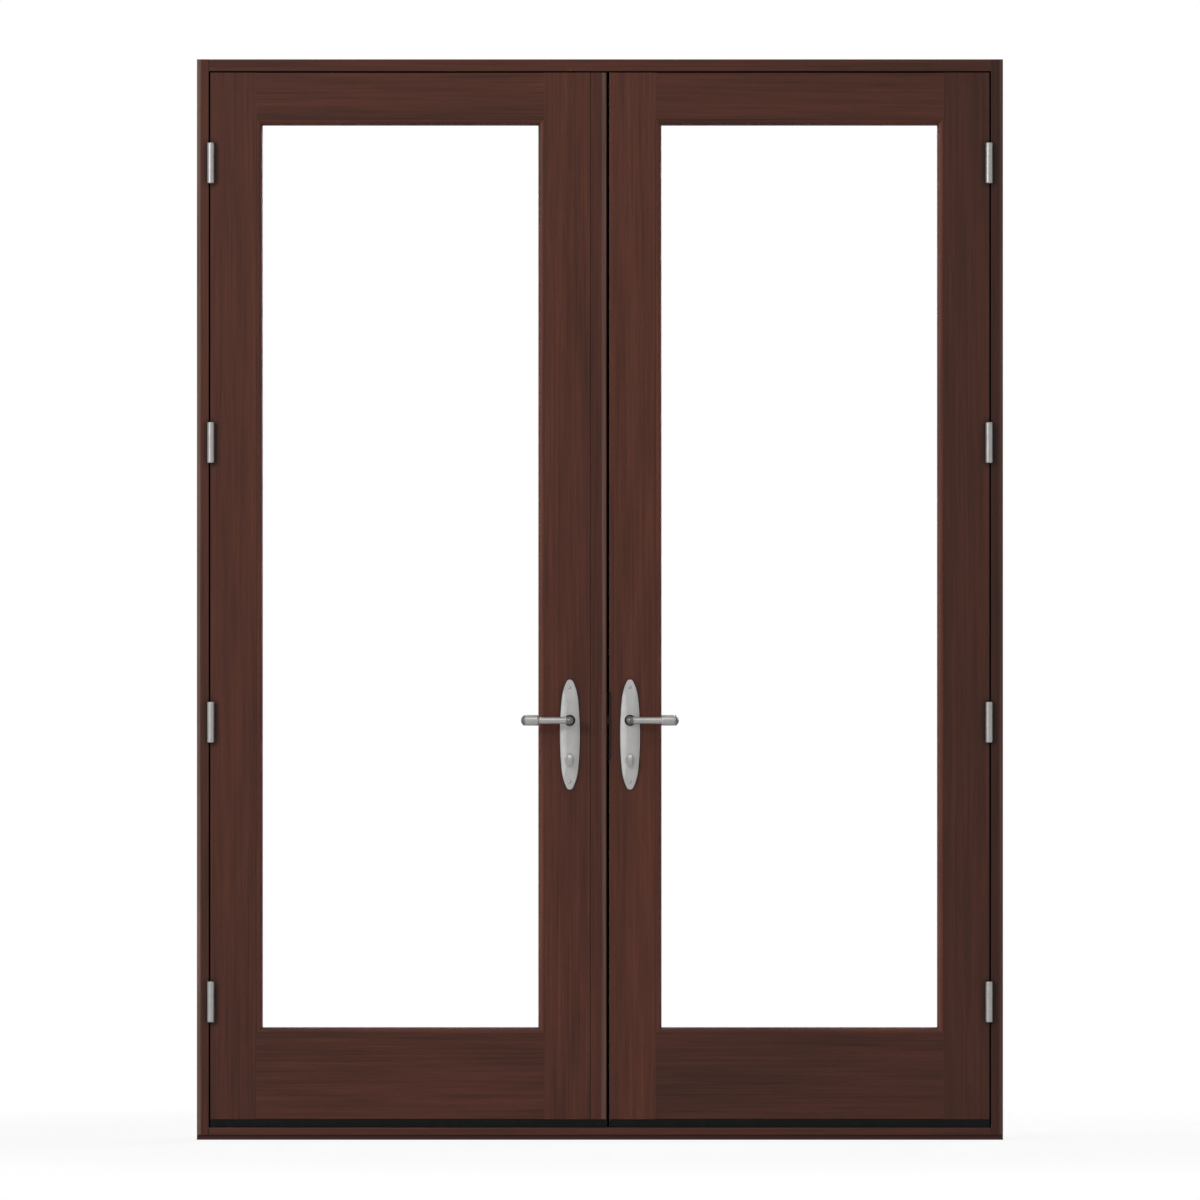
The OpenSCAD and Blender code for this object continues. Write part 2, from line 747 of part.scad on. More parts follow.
module active_meeting_stile() {
  color(wood) difference() {
    plain_meeting_stile();
    stile_cuts();
    handle_holes();
    case_space(face_t);
    span([-meet_x - face_t, leaf_mid_y - face_w / 2 - fit_clear, face_z0 - fit_clear],
         [-meet_x + over, leaf_mid_y + face_w / 2 + fit_clear, face_z1 + fit_clear]);
    finger_relief();
  }
}

// Long scoop in the room side corner of the active leaf, facing the strike plate
module finger_relief() {
  depth = (leaf_t - face_w) / 2;
  end_r = 2 * relief_d;
  translate([-meet_x, room_y - over, 0]) rotate([-90, 0, 0]) linear_extrude(depth + over) difference() {
    translate([-relief_d, -strike_z - strike_h / 2]) square([relief_d + over, strike_h]);
    for (s = [-1, 1]) translate([0, -strike_z]) mirror([0, s > 0 ? 1 : 0]) relief_end(end_r);
  }
}

// Rounds one end of the relief back to the edge of the leaf
module relief_end(r) {
  translate([-relief_d, strike_h / 2 - r]) difference() {
    square([r, r + over]);
    translate([r, 0]) circle(r);
  }
}

// Glazing

module pane(y) {
  cover = glass_cover - gasket_edge;
  color(clear_glass)
    span([sight_x0 - cover, y, sight_z0 - cover], [sight_x1 + cover, y + pane_t, sight_z1 + cover]);
}

module spacer() {
  edge = glass_cover - gasket_edge - spacer_inset;
  color(steel) upright_ring(edge, edge - spacer_w, spacer_y, outer_pane_y);
}

// One gasket: a band against the lip and a band round the edge of the glass
module glazing_gasket() {
  edge = glass_cover - gasket_edge;
  color(rubber) union() {
    upright_ring(glass_cover, 2, lip_y - gasket_t, lip_y);
    upright_ring(glass_cover, edge, inner_pane_y, lip_y);
  }
}

// Section of a glazing bead in (Y, distance from the rebate), with an ovolo towards the glass
module bead_section() {
  depth = inner_pane_y - bead_y;
  r = min(glass_cover - bead_flat, depth - bead_nose);
  difference() {
    translate([bead_y, 0]) square([depth, glass_cover]);
    corner_cut([bead_y, glass_cover], [1, -1], r);
  }
}

// A bead along +X with mitred ends, each cut back by the joint's clearance
module bead(len) {
  c = run_clear;
  intersection() {
    along_x(len) bead_section();
    translate([0, weather_y, 0]) rotate([90, 0, 0]) linear_extrude(frame_d)
      polygon([[c, 0], [len - c, 0], [len - glass_cover - c, glass_cover], [glass_cover + c, glass_cover]]);
  }
}

module glazing_beads() {
  across = rebate_x1 - rebate_x0;
  up = rebate_z1 - rebate_z0;
  color(wood) {
    translate([rebate_x0, 0, rebate_z0]) bead(across);
    translate([rebate_x1, 0, rebate_z1]) rotate([0, 180, 0]) bead(across);
    translate([rebate_x0, 0, rebate_z1]) rotate([0, 90, 0]) bead(up);
    translate([rebate_x1, 0, rebate_z0]) rotate([0, -90, 0]) bead(up);
  }
}

// Sweeps under the leaves

sweep_barb_y = leaf_mid_y - rod_d;               // clear of the shoot bolt

module sweep_kerf() {
  span([-leaf_edge_x - over, sweep_barb_y - kerf_w / 2, leaf_z0 - over],
       [astragal_x + over, sweep_barb_y + kerf_w / 2, leaf_z0 + kerf_depth]);
}

module sweep(x_end, bored) {
  y0 = room_y + sweep_set;
  y1 = leaf_back_y - sweep_set;
  foot = sill_top + soft_clear;
  color(rubber) difference() {
    union() {
      span([-leaf_edge_x, y0, leaf_z0 - sweep_wall], [x_end, y1, leaf_z0]);
      for (y = [y0, rod_y - channel_d, y1 - sweep_wall])
        span([-leaf_edge_x, y, foot], [x_end, y + sweep_wall, leaf_z0]);
      span([-leaf_edge_x, sweep_barb_y - kerf_w / 2 + fit_clear, leaf_z0 - over],
           [x_end, sweep_barb_y + kerf_w / 2 - fit_clear, leaf_z0 + kerf_depth - fit_clear]);
    }
    if (bored) translate([rod_x, rod_y, 0]) cylinder(d = channel_d, h = leaf_z0 + kerf_depth);
  }
}

// Astragal and its strike

module astragal_section() {
  seal_y = leaf_back_y - edge_seal_d;
  difference() {
    translate([-meet_x, room_y]) square([astragal_w, leaf_t]);
    corner_cut([astragal_x, room_y], [-1, 1], astragal_nose);
    corner_cut([astragal_x, leaf_back_y], [-1, -1], leaf_ease);
    translate([astragal_x - kerf_depth, seal_y - kerf_w / 2]) square([kerf_depth + over, kerf_w]);
  }
}

module astragal() {
  color(wood) difference() {
    translate([0, 0, leaf_z0]) linear_extrude(leaf_h) astragal_section();
    sweep_kerf();
    strike_recess();
    bolt_pocket(latch_throw, latch_h, lever_z);
    bolt_pocket(dead_throw, dead_h, dead_z);
  }
}

module astragal_seal() {
  seal_y = leaf_back_y - edge_seal_d;
  reach = meeting_gap - edge_seal_clear;
  color(rubber) translate([0, 0, leaf_z0]) linear_extrude(leaf_h) {
    difference() {
      translate([astragal_x, seal_y - edge_seal_d / 2]) square([reach, edge_seal_d]);
      for (s = [-1, 1])
        corner_cut([astragal_x + reach, seal_y + s * edge_seal_d / 2], [-1, -s], reach * 0.6);
    }
    translate([astragal_x - kerf_depth + fit_clear, seal_y - kerf_w / 2 + fit_clear])
      square([kerf_depth - fit_clear + over, kerf_w - 2 * fit_clear]);
  }
}

// Pocket in the astragal for a bolt that crosses the meeting gap
module bolt_pocket(throw, h, z) {
  c = pocket_end;
  span([astragal_x - (throw - meeting_gap) - c, leaf_mid_y - bolt_t / 2 - c, z - h / 2 - c],
       [astragal_x + over, leaf_mid_y + bolt_t / 2 + c, z + h / 2 + c]);
}

module strike_recess() {
  span([astragal_x - strike_t, room_y - over, strike_z - strike_h / 2 - fit_clear],
       [astragal_x + over, leaf_mid_y + face_w / 2 + fit_clear, strike_z + strike_h / 2 + fit_clear]);
}

// Strike with two holes and a lip towards the room, its outer corners rounded
module strike_plate() {
  y0 = room_y + strike_lip;
  y1 = leaf_mid_y + face_w / 2;
  r = 5;
  color(bronze) difference() {
    translate([astragal_x - strike_t, 0, 0]) along_x(strike_t) difference() {
      translate([y0, strike_z - strike_h / 2]) square([y1 - y0, strike_h]);
      for (s = [-1, 1]) {
        corner_cut([y0, strike_z + s * strike_h / 2], [1, -s], r);
        corner_cut([y1, strike_z + s * strike_h / 2], [-1, -s], r);
      }
    }
    bolt_pocket(latch_throw, latch_h, lever_z);
    bolt_pocket(dead_throw, dead_h, dead_z);
  }
}

// Locks

// Space in the stile for a lock case that starts a given depth behind the edge
module case_space(front) {
  span([case_end_x - fit_clear, leaf_mid_y - case_t / 2 - fit_clear, case_z0 - fit_clear],
       [-meet_x - front + over / 2, leaf_mid_y + case_t / 2 + fit_clear, case_z1 + fit_clear]);
}

module plain_case(front) {
  span([case_end_x, leaf_mid_y - case_t / 2, case_z0], [-meet_x - front, leaf_mid_y + case_t / 2, case_z1]);
}

module case_bores() {
  leaf_bore(lever_z, spindle_hole_r);
  leaf_bore(turn_z, tail_hole_r);
}

module passive_lock_case() {
  color(steel) difference() {
    plain_case(channel_d);
    case_bores();
  }
}

// Slot in the lock case and face plate for a bolt with its tail a given depth behind the face
module bolt_slot(depth, h, z) {
  c = 2 * run_clear;
  span([-meet_x - face_t - depth - pocket_end, leaf_mid_y - bolt_t / 2 - c, z - h / 2 - c],
       [-meet_x + over, leaf_mid_y + bolt_t / 2 + c, z + h / 2 + c]);
}

// The case runs into the middle of the face plate, so that the two are one piece
module active_lock_case() {
  color(bronze) difference() {
    union() {
      plain_case(face_t / 2);
      span([-meet_x - face_t, leaf_mid_y - face_w / 2, face_z0],
           [-meet_x, leaf_mid_y + face_w / 2, face_z1]);
    }
    case_bores();
    bolt_slot(latch_in + latch_throw, latch_h, lever_z);
    bolt_slot(dead_in, dead_h, dead_z);
  }
}

// Latch: a bar whose nose is bevelled on the weather side
module latch_bolt() {
  x0 = -meet_x - face_t - latch_in;
  x1 = -meet_x + latch_throw;
  y = leaf_mid_y - bolt_t / 2;
  color(bronze) translate([0, 0, lever_z - latch_h / 2]) linear_extrude(latch_h)
    polygon([[x0, y], [x1, y], [x1, y + bolt_t / 4], [x1 - latch_throw + 2, y + bolt_t], [x0, y + bolt_t]]);
}

module dead_bolt() {
  color(bronze) span([-meet_x - face_t - dead_in, leaf_mid_y - bolt_t / 2, dead_z - dead_h / 2],
                    [-meet_x, leaf_mid_y + bolt_t / 2, dead_z + dead_h / 2]);
}

// Shoot bolts, each a round rod with a tapered end

module shoot_bolt(z_low, z_high, tip_up) {
  r = rod_d / 2;
  len = z_high - z_low;
  color(steel) translate([rod_x, rod_y, tip_up ? z_low : z_high]) mirror([0, 0, tip_up ? 0 : 1])
    rotate_extrude() polygon([[0, 0], [r, 0], [r, len - rod_tip], [r - rod_tip, len], [0, len]]);
}

// Handles

// Plate's outline in six arcs, drawn in by an inset: each arc stops just short of its tangent to the next
module oval(inset) {
  a = plate_h / 2;
  b = plate_w / 2;
  seam = 0.5;
  side_seam = 4;
  // side arc, up to the shoulder
  z1 = a * plate_shoulder_up;
  x1 = b * plate_shoulder_in;
  side_r = ((b - x1) * (b - x1) + z1 * z1) / (2 * (b - x1));
  way = [b - side_r - x1, -z1] / side_r;
  // shoulder arc, from the side arc to the end arc
  end_z = a - plate_end_r;
  run = [x1, z1 - end_z];
  shoulder_r = (plate_end_r * plate_end_r - run * run) / (2 * (way * run + plate_end_r));
  at = [x1, z1] + way * shoulder_r;
  tangent_z = at[1] + (end_z - at[1]) * shoulder_r / (shoulder_r - plate_end_r);
  intersection() {
    translate([side_r - b, 0]) circle(side_r - inset, $fn = fine);
    translate([b - side_r, 0]) circle(side_r - inset, $fn = fine);
    square([plate_w, 2 * (z1 - side_seam)], center = true);
  }
  for (s = [0, 1]) mirror([0, s]) {
    intersection() {
      translate(at) circle(shoulder_r - inset, $fn = fine);
      translate([-at[0], at[1]]) circle(shoulder_r - inset, $fn = fine);
      translate([-b, z1 - side_seam - over]) square([plate_w, tangent_z - z1 + side_seam + over - seam]);
    }
    translate([0, end_z]) circle(plate_end_r - inset);
  }
}

// Profile of the plate's field in (distance up, height): level in the middle, falling to the ends
module plate_profile() {
  translate([-plate_level, -over]) square([2 * plate_level, plate_t + over]);
  for (s = [0, 1]) mirror([s, 0]) intersection() {
    translate([plate_level, plate_t - plate_long_r]) circle(plate_long_r, $fn = fine);
    translate([plate_level, -over]) square([plate_h / 2, plate_t + over]);
  }
}

// Crowned body that trims the plate's field, along +Z from the face of the leaf
module plate_crown(h, w) {
  drop = plate_drop + crown_rise;
  side_r = (w * w / 4 + drop * drop) / (2 * drop);
  intersection() {
    translate([0, 0, plate_t + crown_rise - side_r]) rotate([90, 0, 0])
      cylinder(r = side_r, h = h + 2 * over, center = true, $fn = fine);
    translate([-w, 0, 0]) rotate([90, 0, 90]) linear_extrude(2 * w) plate_profile();
  }
}

// Plate on the face of the leaf, pointing into the room, with a crowned field inside a flat rim
module plain_plate() {
  h = plate_h - 2 * plate_rim_w;
  w = plate_w - 2 * plate_rim_w;
  off_face(handle_x, plate_z) {
    linear_extrude(plate_rim) oval(0);
    intersection() {
      translate([0, 0, over]) linear_extrude(plate_t) oval(plate_rim_w);
      plate_crown(h, w);
    }
  }
}

// Flat boss on the crown for a collar, rose or cylinder to sit on
module plate_boss(z, r) {
  off_face(handle_x, z) translate([0, 0, over]) cylinder(r = r, h = boss_t - over);
}

module plate_bore(z, r) {
  off_face(handle_x, z) translate([0, 0, -over]) cylinder(r = r, h = boss_t + 2 * over);
}

module plate_screw_holes() {
  for (s = [-1, 1]) plate_bore(plate_z + s * plate_screw_dz, plate_screw_r + fit_clear);
}

module room_plate() {
  color(nickel) difference() {
    union() {
      plain_plate();
      plate_boss(lever_z, collar_d / 2);
      plate_boss(turn_z, rose_r);
    }
    plate_bore(lever_z, neck_d / 2 + run_clear);
    plate_bore(turn_z, turn_stem_r + run_clear);
    plate_screw_holes();
  }
}

module outside_plate(cylinder_hole) {
  color(nickel) on_weather_side() difference() {
    union() {
      plain_plate();
      plate_boss(lever_z, collar_d / 2);
      if (cylinder_hole) plate_boss(turn_z, cylinder_d / 2);
    }
    plate_bore(lever_z, neck_d / 2 + run_clear);
    if (cylinder_hole) plate_bore(turn_z, cylinder_d / 2 - 2 + fit_clear);
    plate_screw_holes();
  }
}

// Oval head screws that draw the two plates together through the leaf, each with a cross recess
module plate_screws() {
  head_r = 4;
  head_h = 1.8;
  slot_l = 5;
  slot_w = 1.2;
  slot_d = 1.3;
  seat = plate_height(plate_screw_dz - head_r);
  ball_r = (head_r * head_r + head_h * head_h) / (2 * head_h);
  color(nickel) for (s = [-1, 1]) off_face(handle_x, plate_z + s * plate_screw_dz) difference() {
    rotate_extrude() {
      translate([0, -leaf_t]) square([plate_screw_r, leaf_t + seat + head_h / 2]);
      intersection() {
        translate([0, seat + fit_clear + head_h - ball_r]) circle(ball_r);
        translate([0, seat + fit_clear]) square([head_r, head_h]);
      }
    }
    for (turn = [0, 90]) rotate([0, 0, turn])
      translate([-slot_l / 2, -slot_w / 2, seat + fit_clear + head_h - slot_d])
        cube([slot_l, slot_w, slot_d + over]);
  }
}

// Half outline of the lever's bar, in (radius, distance from the axis): round hub, slim shaft and full grip
module lever_outline() {
  hub_r = hub_d / 2;
  shaft_r = shaft_d / 2;
  grip_r = grip_d / 2;
  shoulder = grip_r - shaft_r;
  grip_z = lever_len - grip_len + shoulder;
  tip_z = lever_len - tip_h;
  dome_r = (grip_r * grip_r + tip_h * tip_h) / (2 * tip_h);
  groove = 1.2;
  groove_in = 3;
  difference() {
    union() {
      intersection() {
        circle(hub_r);
        translate([0, -hub_r]) square([hub_r, 2 * hub_r]);
      }
      square([shaft_r, tip_z]);
      intersection() {
        translate([shaft_r, grip_z]) circle(shoulder);
        translate([shaft_r, grip_z - shoulder]) square(shoulder);
      }
      translate([0, grip_z]) square([grip_r, tip_z - grip_z]);
      intersection() {
        translate([0, lever_len - dome_r]) circle(dome_r);
        translate([0, tip_z]) square([grip_r, tip_h]);
      }
    }
    translate([grip_r + groove / 2, tip_z - groove_in]) circle(groove);
  }
}

// Lever on the room side: a collar and neck off the plate, and the bar towards the hinge stile
module lever() {
  socket = spindle_s + 2 * run_clear;
  off_face(handle_x, lever_z) difference() {
    union() {
      translate([0, 0, boss_t + fit_clear]) cylinder(d = collar_d, h = collar_h);
      translate([0, 0, soft_clear]) cylinder(d = neck_d, h = lever_reach - soft_clear);
      translate([0, 0, lever_reach]) rotate([0, -90, 0]) rotate_extrude() lever_outline();
    }
    translate([0, 0, (spindle_grip - over) / 2])
      cube([socket, socket, spindle_grip + run_clear + over], center = true);
  }
}

module room_lever() { color(nickel) lever(); }

module outside_lever() { color(nickel) on_weather_side() lever(); }

module spindle() {
  color(steel) translate([handle_x, leaf_mid_y, lever_z])
    cube([spindle_s, leaf_t + 2 * spindle_grip, spindle_s], center = true);
}

// Thumb turn: an upright blade with a rounded edge on a low rose, with its tail in the lock case
module thumb_turn() {
  rose_h = 2.5;
  blade = turn_h - turn_w;
  base = boss_t + fit_clear;
  edge_r = (turn_h / 2 * turn_h / 2 + turn_reach * turn_reach / 9) / (2 * turn_reach / 3);
  color(nickel) off_face(handle_x, turn_z) union() {
    translate([0, 0, base]) cylinder(r = rose_r, h = rose_h);
    translate([0, 0, soft_clear]) cylinder(r = turn_stem_r, h = base + rose_h - soft_clear);
    span([-tail_t / 2, -tail_w / 2, -leaf_t / 2 - case_t / 3], [tail_t / 2, tail_w / 2, over]);
    intersection() {
      linear_extrude(base + turn_reach) union() {
        square([turn_w, blade], center = true);
        for (s = [-1, 1]) translate([0, s * blade / 2]) circle(d = turn_w);
      }
      translate([0, 0, base + turn_reach - edge_r]) rotate([0, 90, 0])
        cylinder(r = edge_r, h = 2 * turn_w, center = true);
      translate([0, 0, base]) linear_extrude(turn_reach) square([turn_h, turn_h], center = true);
    }
  }
}

// Key cylinder on the weather side of the active leaf, with its keyway
module key_cylinder() {
  rim = 3;
  key_w = 2;
  key_h = 9;
  key_d = 7;
  body_r = cylinder_d / 2 - 2;
  color(nickel) on_weather_side() off_face(handle_x, turn_z) difference() {
    union() {
      translate([0, 0, boss_t + fit_clear]) cylinder(d = cylinder_d, h = rim);
      cylinder(r = body_r, h = boss_t + rim);
    }
    translate([-key_w / 2, -key_h / 2, boss_t + rim - key_d]) cube([key_w, key_h, key_d + over]);
  }
}

// Frame and hinges

jamb();  // left_jamb
mirror([1, 0, 0]) jamb();  // right_jamb
head_jamb();
threshold();
sill_nosing();
frame_weatherstrip();
frame_hinge_plates();  // left_frame_hinge_plates
mirror([1, 0, 0]) frame_hinge_plates();  // right_frame_hinge_plates
hinge_pins();
frame_hinge_screws();
bolt_keepers();

// Passive leaf

hinge_stile();  // passive_hinge_stile
passive_meeting_stile();
top_rail();  // passive_top_rail
bottom_rail();  // passive_bottom_rail
pane(inner_pane_y);  // passive_inner_pane
pane(outer_pane_y);  // passive_outer_pane
spacer();  // passive_spacer
glazing_beads();  // passive_glazing_beads
glazing_gasket();  // passive_glazing_gasket
sweep(astragal_x, true);  // passive_sweep
leaf_hinge_plates();  // passive_hinge_plates
leaf_hinge_screws();  // passive_hinge_screws
room_plate();  // passive_room_plate
outside_plate(false);  // passive_outside_plate
plate_screws();  // passive_plate_screws
passive_lock_case();
room_lever();  // passive_room_lever
outside_lever();  // passive_outside_lever
spindle();  // passive_spindle
thumb_turn();  // passive_thumb_turn
astragal();
astragal_seal();
strike_plate();
shoot_bolt(lever_z + rod_split / 2, rod_top_z, true);  // passive_top_bolt
shoot_bolt(rod_foot_z, lever_z - rod_split / 2, false);  // passive_bottom_bolt

// Active leaf

on_leaf(true) hinge_stile();  // active_hinge_stile
on_leaf(true) active_meeting_stile();
on_leaf(true) top_rail();  // active_top_rail
on_leaf(true) bottom_rail();  // active_bottom_rail
on_leaf(true) pane(inner_pane_y);  // active_inner_pane
on_leaf(true) pane(outer_pane_y);  // active_outer_pane
on_leaf(true) spacer();  // active_spacer
on_leaf(true) glazing_beads();  // active_glazing_beads
on_leaf(true) glazing_gasket();  // active_glazing_gasket
on_leaf(true) sweep(-meet_x, false);  // active_sweep
on_leaf(true) leaf_hinge_plates();  // active_hinge_plates
on_leaf(true) leaf_hinge_screws();  // active_hinge_screws
on_leaf(true) room_plate();  // active_room_plate
on_leaf(true) outside_plate(true);  // active_outside_plate
on_leaf(true) plate_screws();  // active_plate_screws
on_leaf(true) active_lock_case();
on_leaf(true) room_lever();  // active_room_lever
on_leaf(true) outside_lever();  // active_outside_lever
on_leaf(true) spindle();  // active_spindle
on_leaf(true) thumb_turn();  // active_thumb_turn
on_leaf(true) latch_bolt();
on_leaf(true) dead_bolt();
on_leaf(true) key_cylinder();
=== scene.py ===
"""French doors with their frame: finishes, soft seals, studio and camera.

Lengths are in metres and the axes are the frame's own: +X to the right as seen from the room, +Y from
the room to the weather side, +Z up. The left leaf is the passive one and carries the astragal.
"""

from __future__ import annotations

import logging
import math
from abc import ABC, abstractmethod
from dataclasses import dataclass, field
from enum import Enum
from typing import Callable, Mapping, Optional, Sequence, Union

import bmesh
import bpy
from mathutils import Matrix, Vector

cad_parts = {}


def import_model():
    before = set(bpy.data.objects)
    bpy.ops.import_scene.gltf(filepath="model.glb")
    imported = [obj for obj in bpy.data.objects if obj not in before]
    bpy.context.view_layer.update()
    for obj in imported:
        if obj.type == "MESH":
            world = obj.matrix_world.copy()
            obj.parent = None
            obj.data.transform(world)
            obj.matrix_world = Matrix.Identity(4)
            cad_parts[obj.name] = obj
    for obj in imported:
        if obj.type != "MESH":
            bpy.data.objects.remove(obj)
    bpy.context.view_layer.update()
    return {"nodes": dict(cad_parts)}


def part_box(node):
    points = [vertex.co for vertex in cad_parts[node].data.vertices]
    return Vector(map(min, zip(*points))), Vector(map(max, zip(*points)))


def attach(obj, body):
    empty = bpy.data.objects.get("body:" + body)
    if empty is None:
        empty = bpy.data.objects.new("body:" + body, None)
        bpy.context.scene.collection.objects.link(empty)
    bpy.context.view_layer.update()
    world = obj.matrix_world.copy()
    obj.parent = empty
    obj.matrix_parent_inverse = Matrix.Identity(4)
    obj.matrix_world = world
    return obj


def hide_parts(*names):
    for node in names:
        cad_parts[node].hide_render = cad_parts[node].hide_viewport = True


LOG = logging.getLogger("french_doors")
SILL_TOP = 0.0282
TOUCH = 0.00002
SMOOTH_BELOW = math.radians(32.0)
RAYS = 4
EDGE_START = 0.02
EDGE_FULL = 0.2

Point = tuple[float, float]
Term = Union["Wire", int, float]
Nodes = Mapping[str, bpy.types.Object]


@dataclass(frozen=True)
class Colour:
    """A colour as it looks on a screen, from 0 to 255 a channel."""

    red: float
    green: float
    blue: float

    def rgba(self, shade: float = 1.0) -> tuple[float, float, float, float]:
        """Gives the colour as linear light.

        Args:
            shade: how much lighter or darker than written, as a factor on the light.

        Returns:
            Red, green, blue and a full alpha.
        """
        return (*(self._linear(part) * shade for part in (self.red, self.green, self.blue)), 1.0)

    @staticmethod
    def _linear(part: float) -> float:
        """One channel as linear light."""
        level = part / 255.0
        return level / 12.92 if level <= 0.04045 else ((level + 0.055) / 1.055) ** 2.4


class Wire:
    """A shader socket that stands in Python arithmetic; each operator adds its Math node."""

    def __init__(self, graph: Graph, socket: bpy.types.NodeSocket) -> None:
        """Keeps the socket and the graph that it belongs to."""
        self.graph = graph
        self.socket = socket

    def _math(self, operation: str, first: Term, second: Term = 0.0) -> Wire:
        """Adds a Math node.

        Args:
            operation: what the node works out.
            first: its first term.
            second: its second term.

        Returns:
            The node's result.
        """
        return self.graph.node("ShaderNodeMath", {"operation": operation}, {0: first, 1: second}).out(0)

    def __add__(self, other: Term) -> Wire:
        """The sum of two terms."""
        return self._math("ADD", self, other)

    def __radd__(self, other: Term) -> Wire:
        """The sum of two terms, this one second."""
        return self._math("ADD", other, self)

    def __sub__(self, other: Term) -> Wire:
        """The difference of two terms."""
        return self._math("SUBTRACT", self, other)

    def __rsub__(self, other: Term) -> Wire:
        """The difference of two terms, this one second."""
        return self._math("SUBTRACT", other, self)

    def __mul__(self, other: Term) -> Wire:
        """The product of two terms."""
        return self._math("MULTIPLY", self, other)

    def __rmul__(self, other: Term) -> Wire:
        """The product of two terms, this one second."""
        return self._math("MULTIPLY", other, self)

    def __abs__(self) -> Wire:
        """The size of the term without its sign."""
        return self._math("ABSOLUTE", self)

    def __gt__(self, other: Term) -> Wire:
        """One where this term is the greater, else nought."""
        return self._math("GREATER_THAN", self, other)

    def sine(self) -> Wire:
        """The sine of the term."""
        return self._math("SINE", self)

    def most(self, other: Term) -> Wire:
        """The greater of two terms."""
        return self._math("MAXIMUM", self, other)

    def sway(self, weight: float) -> Wire:
        """A noise from nought to one as a swing about nought."""
        return (self - 0.5) * weight

    def ease(self, low: float, high: float) -> Wire:
        """Turns the term into a smooth mask.

        Args:
            low: where the mask starts to rise from nought.
            high: where it reaches one.

        Returns:
            The mask.
        """
        settings = {"interpolation_type": "SMOOTHSTEP"}
        return self.graph.node("ShaderNodeMapRange", settings, {"Value": self, 1: low, 2: high}).out(0)


@dataclass(frozen=True)
class Fitting:
    """A node that was placed in a graph."""

    graph: Graph
    node: bpy.types.Node

    def out(self, key: Union[int, str]) -> Wire:
        """One of the node's outputs, by its name or its place."""
        return Wire(self.graph, self.node.outputs[key])


class Graph:
    """The node tree of a material or of the world."""

    def __init__(self, tree: bpy.types.NodeTree) -> None:
        """Takes over a tree and empties it."""
        self.tree = tree
        tree.nodes.clear()

    def node(
        self,
        kind: str,
        settings: Optional[Mapping[str, object]] = None,
        sockets: Optional[Mapping[Union[int, str], object]] = None,
    ) -> Fitting:
        """Adds a node of any kind.

        Args:
            kind: the node's type.
            settings: properties of the node, which are set first.
            sockets: values or links of its inputs, by name or place.

        Returns:
            The node that was placed.
        """
        made = self.tree.nodes.new(kind)
        for key, value in (settings or {}).items():
            setattr(made, key, value)
        for key, value in (sockets or {}).items():
            if isinstance(value, Wire):
                self.tree.links.new(value.socket, made.inputs[key])
            else:
                made.inputs[key].default_value = value
        return Fitting(self, made)

    def split(self, vector: Wire) -> tuple[Wire, Wire, Wire]:
        """The three parts of a vector."""
        parts = self.node("ShaderNodeSeparateXYZ", {}, {0: vector})
        return parts.out(0), parts.out(1), parts.out(2)

    def join(self, x: Term, y: Term, z: Term) -> Wire:
        """A vector from three parts."""
        return self.node("ShaderNodeCombineXYZ", {}, {0: x, 1: y, 2: z}).out(0)

    def noise(self, place: Wire, scale: float, detail: float, rough: float) -> Wire:
        """Adds a noise that runs from nought to one.

        Args:
            place: where the noise is read.
            scale: how many lumps there are to a metre.
            detail: how many finer layers it has.
            rough: how strong the finer layers are.

        Returns:
            The noise.
        """
        sockets = {"Vector": place, "Scale": scale, "Detail": detail, "Roughness": rough}
        return self.node("ShaderNodeTexNoise", {}, sockets).out(0)

    def tint(self, factor: Term, low: object, high: object) -> Wire:
        """Mixes two colours.

        Args:
            factor: the share of the second colour.
            low: the first colour, or a link to it.
            high: the second colour, or a link to it.

        Returns:
            The mixed colour.
        """
        return self.node("ShaderNodeMix", {"data_type": "RGBA"}, {0: factor, 6: low, 7: high}).out(2)

    def bump(self, height: Wire, depth: float, strength: float) -> Wire:
        """Raises and sinks the surface in its shading.

        Args:
            height: the relief, from nought to about one.
            depth: how deep one unit of relief is.
            strength: how far the relief shows.

        Returns:
            The normal for a shader.
        """
        sockets = {"Height": height, "Distance": depth, "Strength": strength}
        return self.node("ShaderNodeBump", {}, sockets).out(0)

    def corner_shade(self, reach: float) -> Wire:
        """Finds corners and recesses, where the wood gets painted shade.

        Args:
            reach: how far off another face still makes a corner.

        Returns:
            Nought in the open, rising towards one deep in a corner.
        """
        settings = {"samples": RAYS}
        return 1.0 - self.node("ShaderNodeAmbientOcclusion", settings, {"Distance": reach}).out("AO")

    def sharp_edges(self, reach: float) -> Wire:
        """Finds a piece's sharp edges, which the finishes lighten as wear and as painted highlight.

        Args:
            reach: how far from an edge the wear goes.

        Returns:
            Nought on flat faces, rising to one along the edges.
        """
        rounded = self.node("ShaderNodeBevel", {"samples": RAYS}, {"Radius": reach}).out(0)
        facing = self.node("ShaderNodeNewGeometry").out("Normal")
        agree = self.node("ShaderNodeVectorMath", {"operation": "DOT_PRODUCT"}, {0: rounded, 1: facing})
        return (1.0 - agree.out("Value")).ease(EDGE_START, EDGE_FULL)


@dataclass(frozen=True)
class Layer:
    """One noise of a finish.

    It has so many lumps to a metre and a weight in the tone. The stretch is the factor on distances along
    the grain: below one, the lumps are drawn out.
    """

    scale: float
    weight: float = 1.0
    stretch: float = 1.0
    detail: float = 2.0
    rough: float = 0.5

    def read(self, graph: Graph, place: Wire) -> Wire:
        """The noise at a place."""
        return graph.noise(place, self.scale, self.detail, self.rough)


@dataclass(frozen=True)
class Swing:
    """A level that a noise raises and lowers."""

    level: float
    weight: float

    def under(self, noise: Wire) -> Wire:
        """The level, raised and lowered by a noise from nought to one."""
        return self.level + noise.sway(self.weight)


